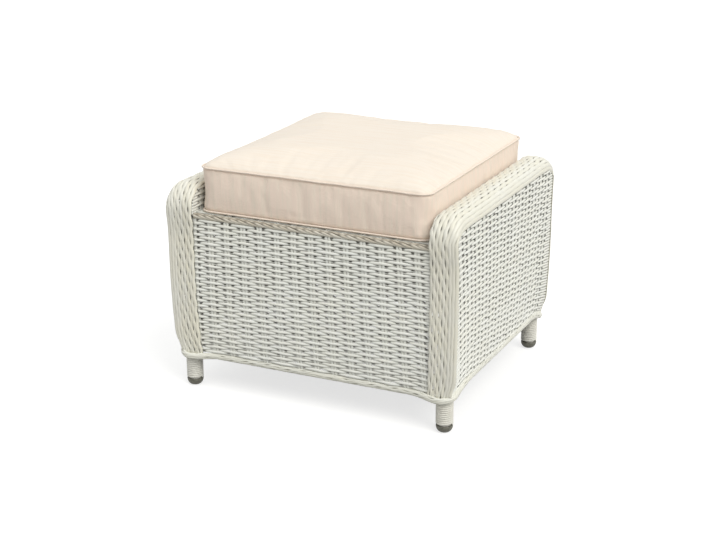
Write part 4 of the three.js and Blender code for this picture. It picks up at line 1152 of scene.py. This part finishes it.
# Zip. A moulded chain on its tape runs across the back of the boxing, with a metal slider on it and a
# pull tab that turns over in the slider's bridge.
zip_inset = 5.3
zip_teeth_gap = 2.6
tape_colour = (0.86, 0.80, 0.70)
tape_worn_colour = (0.78, 0.71, 0.60)
tape_grain = ((300.0, 300.0, 900.0), 2.0, 0.35, 0.7)
metal_colours = ((0.55, 0.55, 0.54), (0.68, 0.68, 0.66))
metal_scratches = ((2500.0, 250.0, 250.0), 2.0, 0.3, 0.7)
plate_section = np.array([[1.0, -1.0], [1.0, 1.0], [-1.0, 1.0], [-1.0, -1.0]])
zip_finish = mottled_finish("zip_plastic", (tape_colour, tape_worn_colour), tape_grain, (0.5, 0.5), 0.0001)
zip_core, zip_direction = rounded_outline(1600)
zip_line = zip_core + (cushion_corner - zip_inset) * zip_direction
zip_from = int(np.argmax(zip_line[:, 0] + zip_line[:, 1]))
zip_to = int(np.argmax(zip_line[:, 1] - zip_line[:, 0]))
tape = np.concatenate([zip_line[zip_from:zip_to], np.full((zip_to - zip_from, 1), zip_z)], axis=1)[::8]
tape_out = np.concatenate([zip_direction[zip_from:zip_to], np.zeros((zip_to - zip_from, 1))], axis=1)[::8]
tape_points = tape - tape_out * 0.9
tape_centres = np.stack([tape_points + [0, 0, -1.45], tape_points + [0, 0, 1.45]])
tape_piece = strands("zip_tape", tape_centres, np.stack([tape_out, tape_out]), 2.6, 1.2, "cushion",
                     zip_finish, section=plate_section)
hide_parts("zip_chain")
teeth_centre = even_run(tape, int(len(tape) * 8 * 1.16 / zip_teeth_gap), False)
teeth_out = even_run(tape_out, len(teeth_centre), False)
teeth_along = unit(np.gradient(teeth_centre, axis=0))
tooth_ends = np.array([-0.75, 0.75])
teeth_up = np.where(np.arange(len(teeth_centre)) % 2 == 0, -0.9, 0.9)[:, None] * [0, 0, 1]
teeth = (teeth_centre + teeth_up - teeth_out * 0.2)[:, None] + teeth_along[:, None] * tooth_ends[:, None]
teeth_piece = strands("zip_teeth", teeth, np.repeat(unit(teeth_out)[:, None], 2, axis=1), 2.8, 1.0,
                      "cushion", zip_finish, section=plate_section)
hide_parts("zip_chain")
metal = mottled_finish("zip_metal", metal_colours, metal_scratches, (0.25, 0.45), 0.0,
                       more=[("Metallic", 0.95)])
coat_packed(("zip_slider", "zip_pull_tab"), metal)

# Floor and light. A plain pale floor that keeps the stool's soft shadow and reads as white elsewhere,
# under one broad soft lamp from above on the right, in a pale room.
floor_half = 6.0
floor_z = -0.0005
floor_colour = (0.42, 0.42, 0.41, 1.0)
floor_lift_share = 0.70
room_low = 0.38
room_high = 0.86
lamp_strength = 1.82
lamp_breadth = 35.0
lamp_colour = (1.0, 0.985, 0.955)
lamp_height = 45.0
lamp_turn = 62.0
floor_mesh = bpy.data.meshes.new("floor")
floor_corners = [(-1, -1), (1, -1), (1, 1), (-1, 1)]
floor_points = [(x * floor_half, y * floor_half, floor_z) for x, y in floor_corners]
floor_mesh.from_pydata(floor_points, [], [(0, 1, 2, 3)])
floor = bpy.data.objects.new("floor", floor_mesh)
bpy.context.scene.collection.objects.link(floor)
floor_finish, floor_tree, floor_shader = new_finish("floor_white", 0.9)
floor_shader.inputs["Base Color"].default_value = floor_colour
floor_shader.inputs["Specular IOR Level"].default_value = 0.1
floor_mesh.materials.append(floor_finish)


def seen_directly(tree):
    """1 for rays from the camera, through glass or off a mirror, and 0 for light on the object."""
    path = add_node(tree, "LightPath", {})
    total = path["Is Camera Ray"]
    for ray in ("Is Glossy Ray", "Is Transmission Ray"):
        total = add_node(tree, "Math", {0: total, 1: path[ray]}, operation="MAXIMUM")[0]
    return total


floor_seen = {0: seen_directly(floor_tree), 1: floor_lift_share}
floor_lift = add_node(floor_tree, "Math", floor_seen, operation="MULTIPLY")[0]
floor_glow = add_node(floor_tree, "Emission", {"Strength": floor_lift})[0]
floor_sum = add_node(floor_tree, "AddShader", {0: floor_shader.outputs[0], 1: floor_glow})[0]
floor_tree.links.new(floor_sum, floor_tree.nodes["Material Output"].inputs["Surface"])

world = bpy.data.worlds.new("pale_room")
world.use_nodes = True
bpy.context.scene.world = world
room_tree = world.node_tree
room_light = room_tree.nodes["Background"]
room_light.inputs["Color"].default_value = (1.0, 1.0, 1.0, 1.0)
room_place = add_node(room_tree, "TexCoord", {})["Generated"]
room_up = add_node(room_tree, "SeparateXYZ", {0: room_place})["Z"]
room_range = {"Value": room_up, "From Min": -0.1, "From Max": 0.9, "To Min": room_low, "To Max": room_high}
room_strength = add_node(room_tree, "MapRange", room_range)["Result"]
room_tree.links.new(room_strength, room_light.inputs["Strength"])
room_white = add_node(room_tree, "Background", {"Strength": 1.0})[0]
room_sides = {0: seen_directly(room_tree), 1: room_light.outputs[0], 2: room_white}
room_mix = add_node(room_tree, "MixShader", room_sides)[0]
room_tree.links.new(room_mix, room_tree.nodes["World Output"].inputs["Surface"])
lamp_data = bpy.data.lights.new("soft_lamp", "SUN")
lamp_data.energy = lamp_strength
lamp_data.angle = math.radians(lamp_breadth)
lamp_data.color = lamp_colour
lamp = bpy.data.objects.new("soft_lamp", lamp_data)
lamp.rotation_euler = (math.radians(90.0 - lamp_height), 0.0, math.radians(lamp_turn))
bpy.context.scene.collection.objects.link(lamp)
bpy.context.scene.view_settings.view_transform = "Standard"
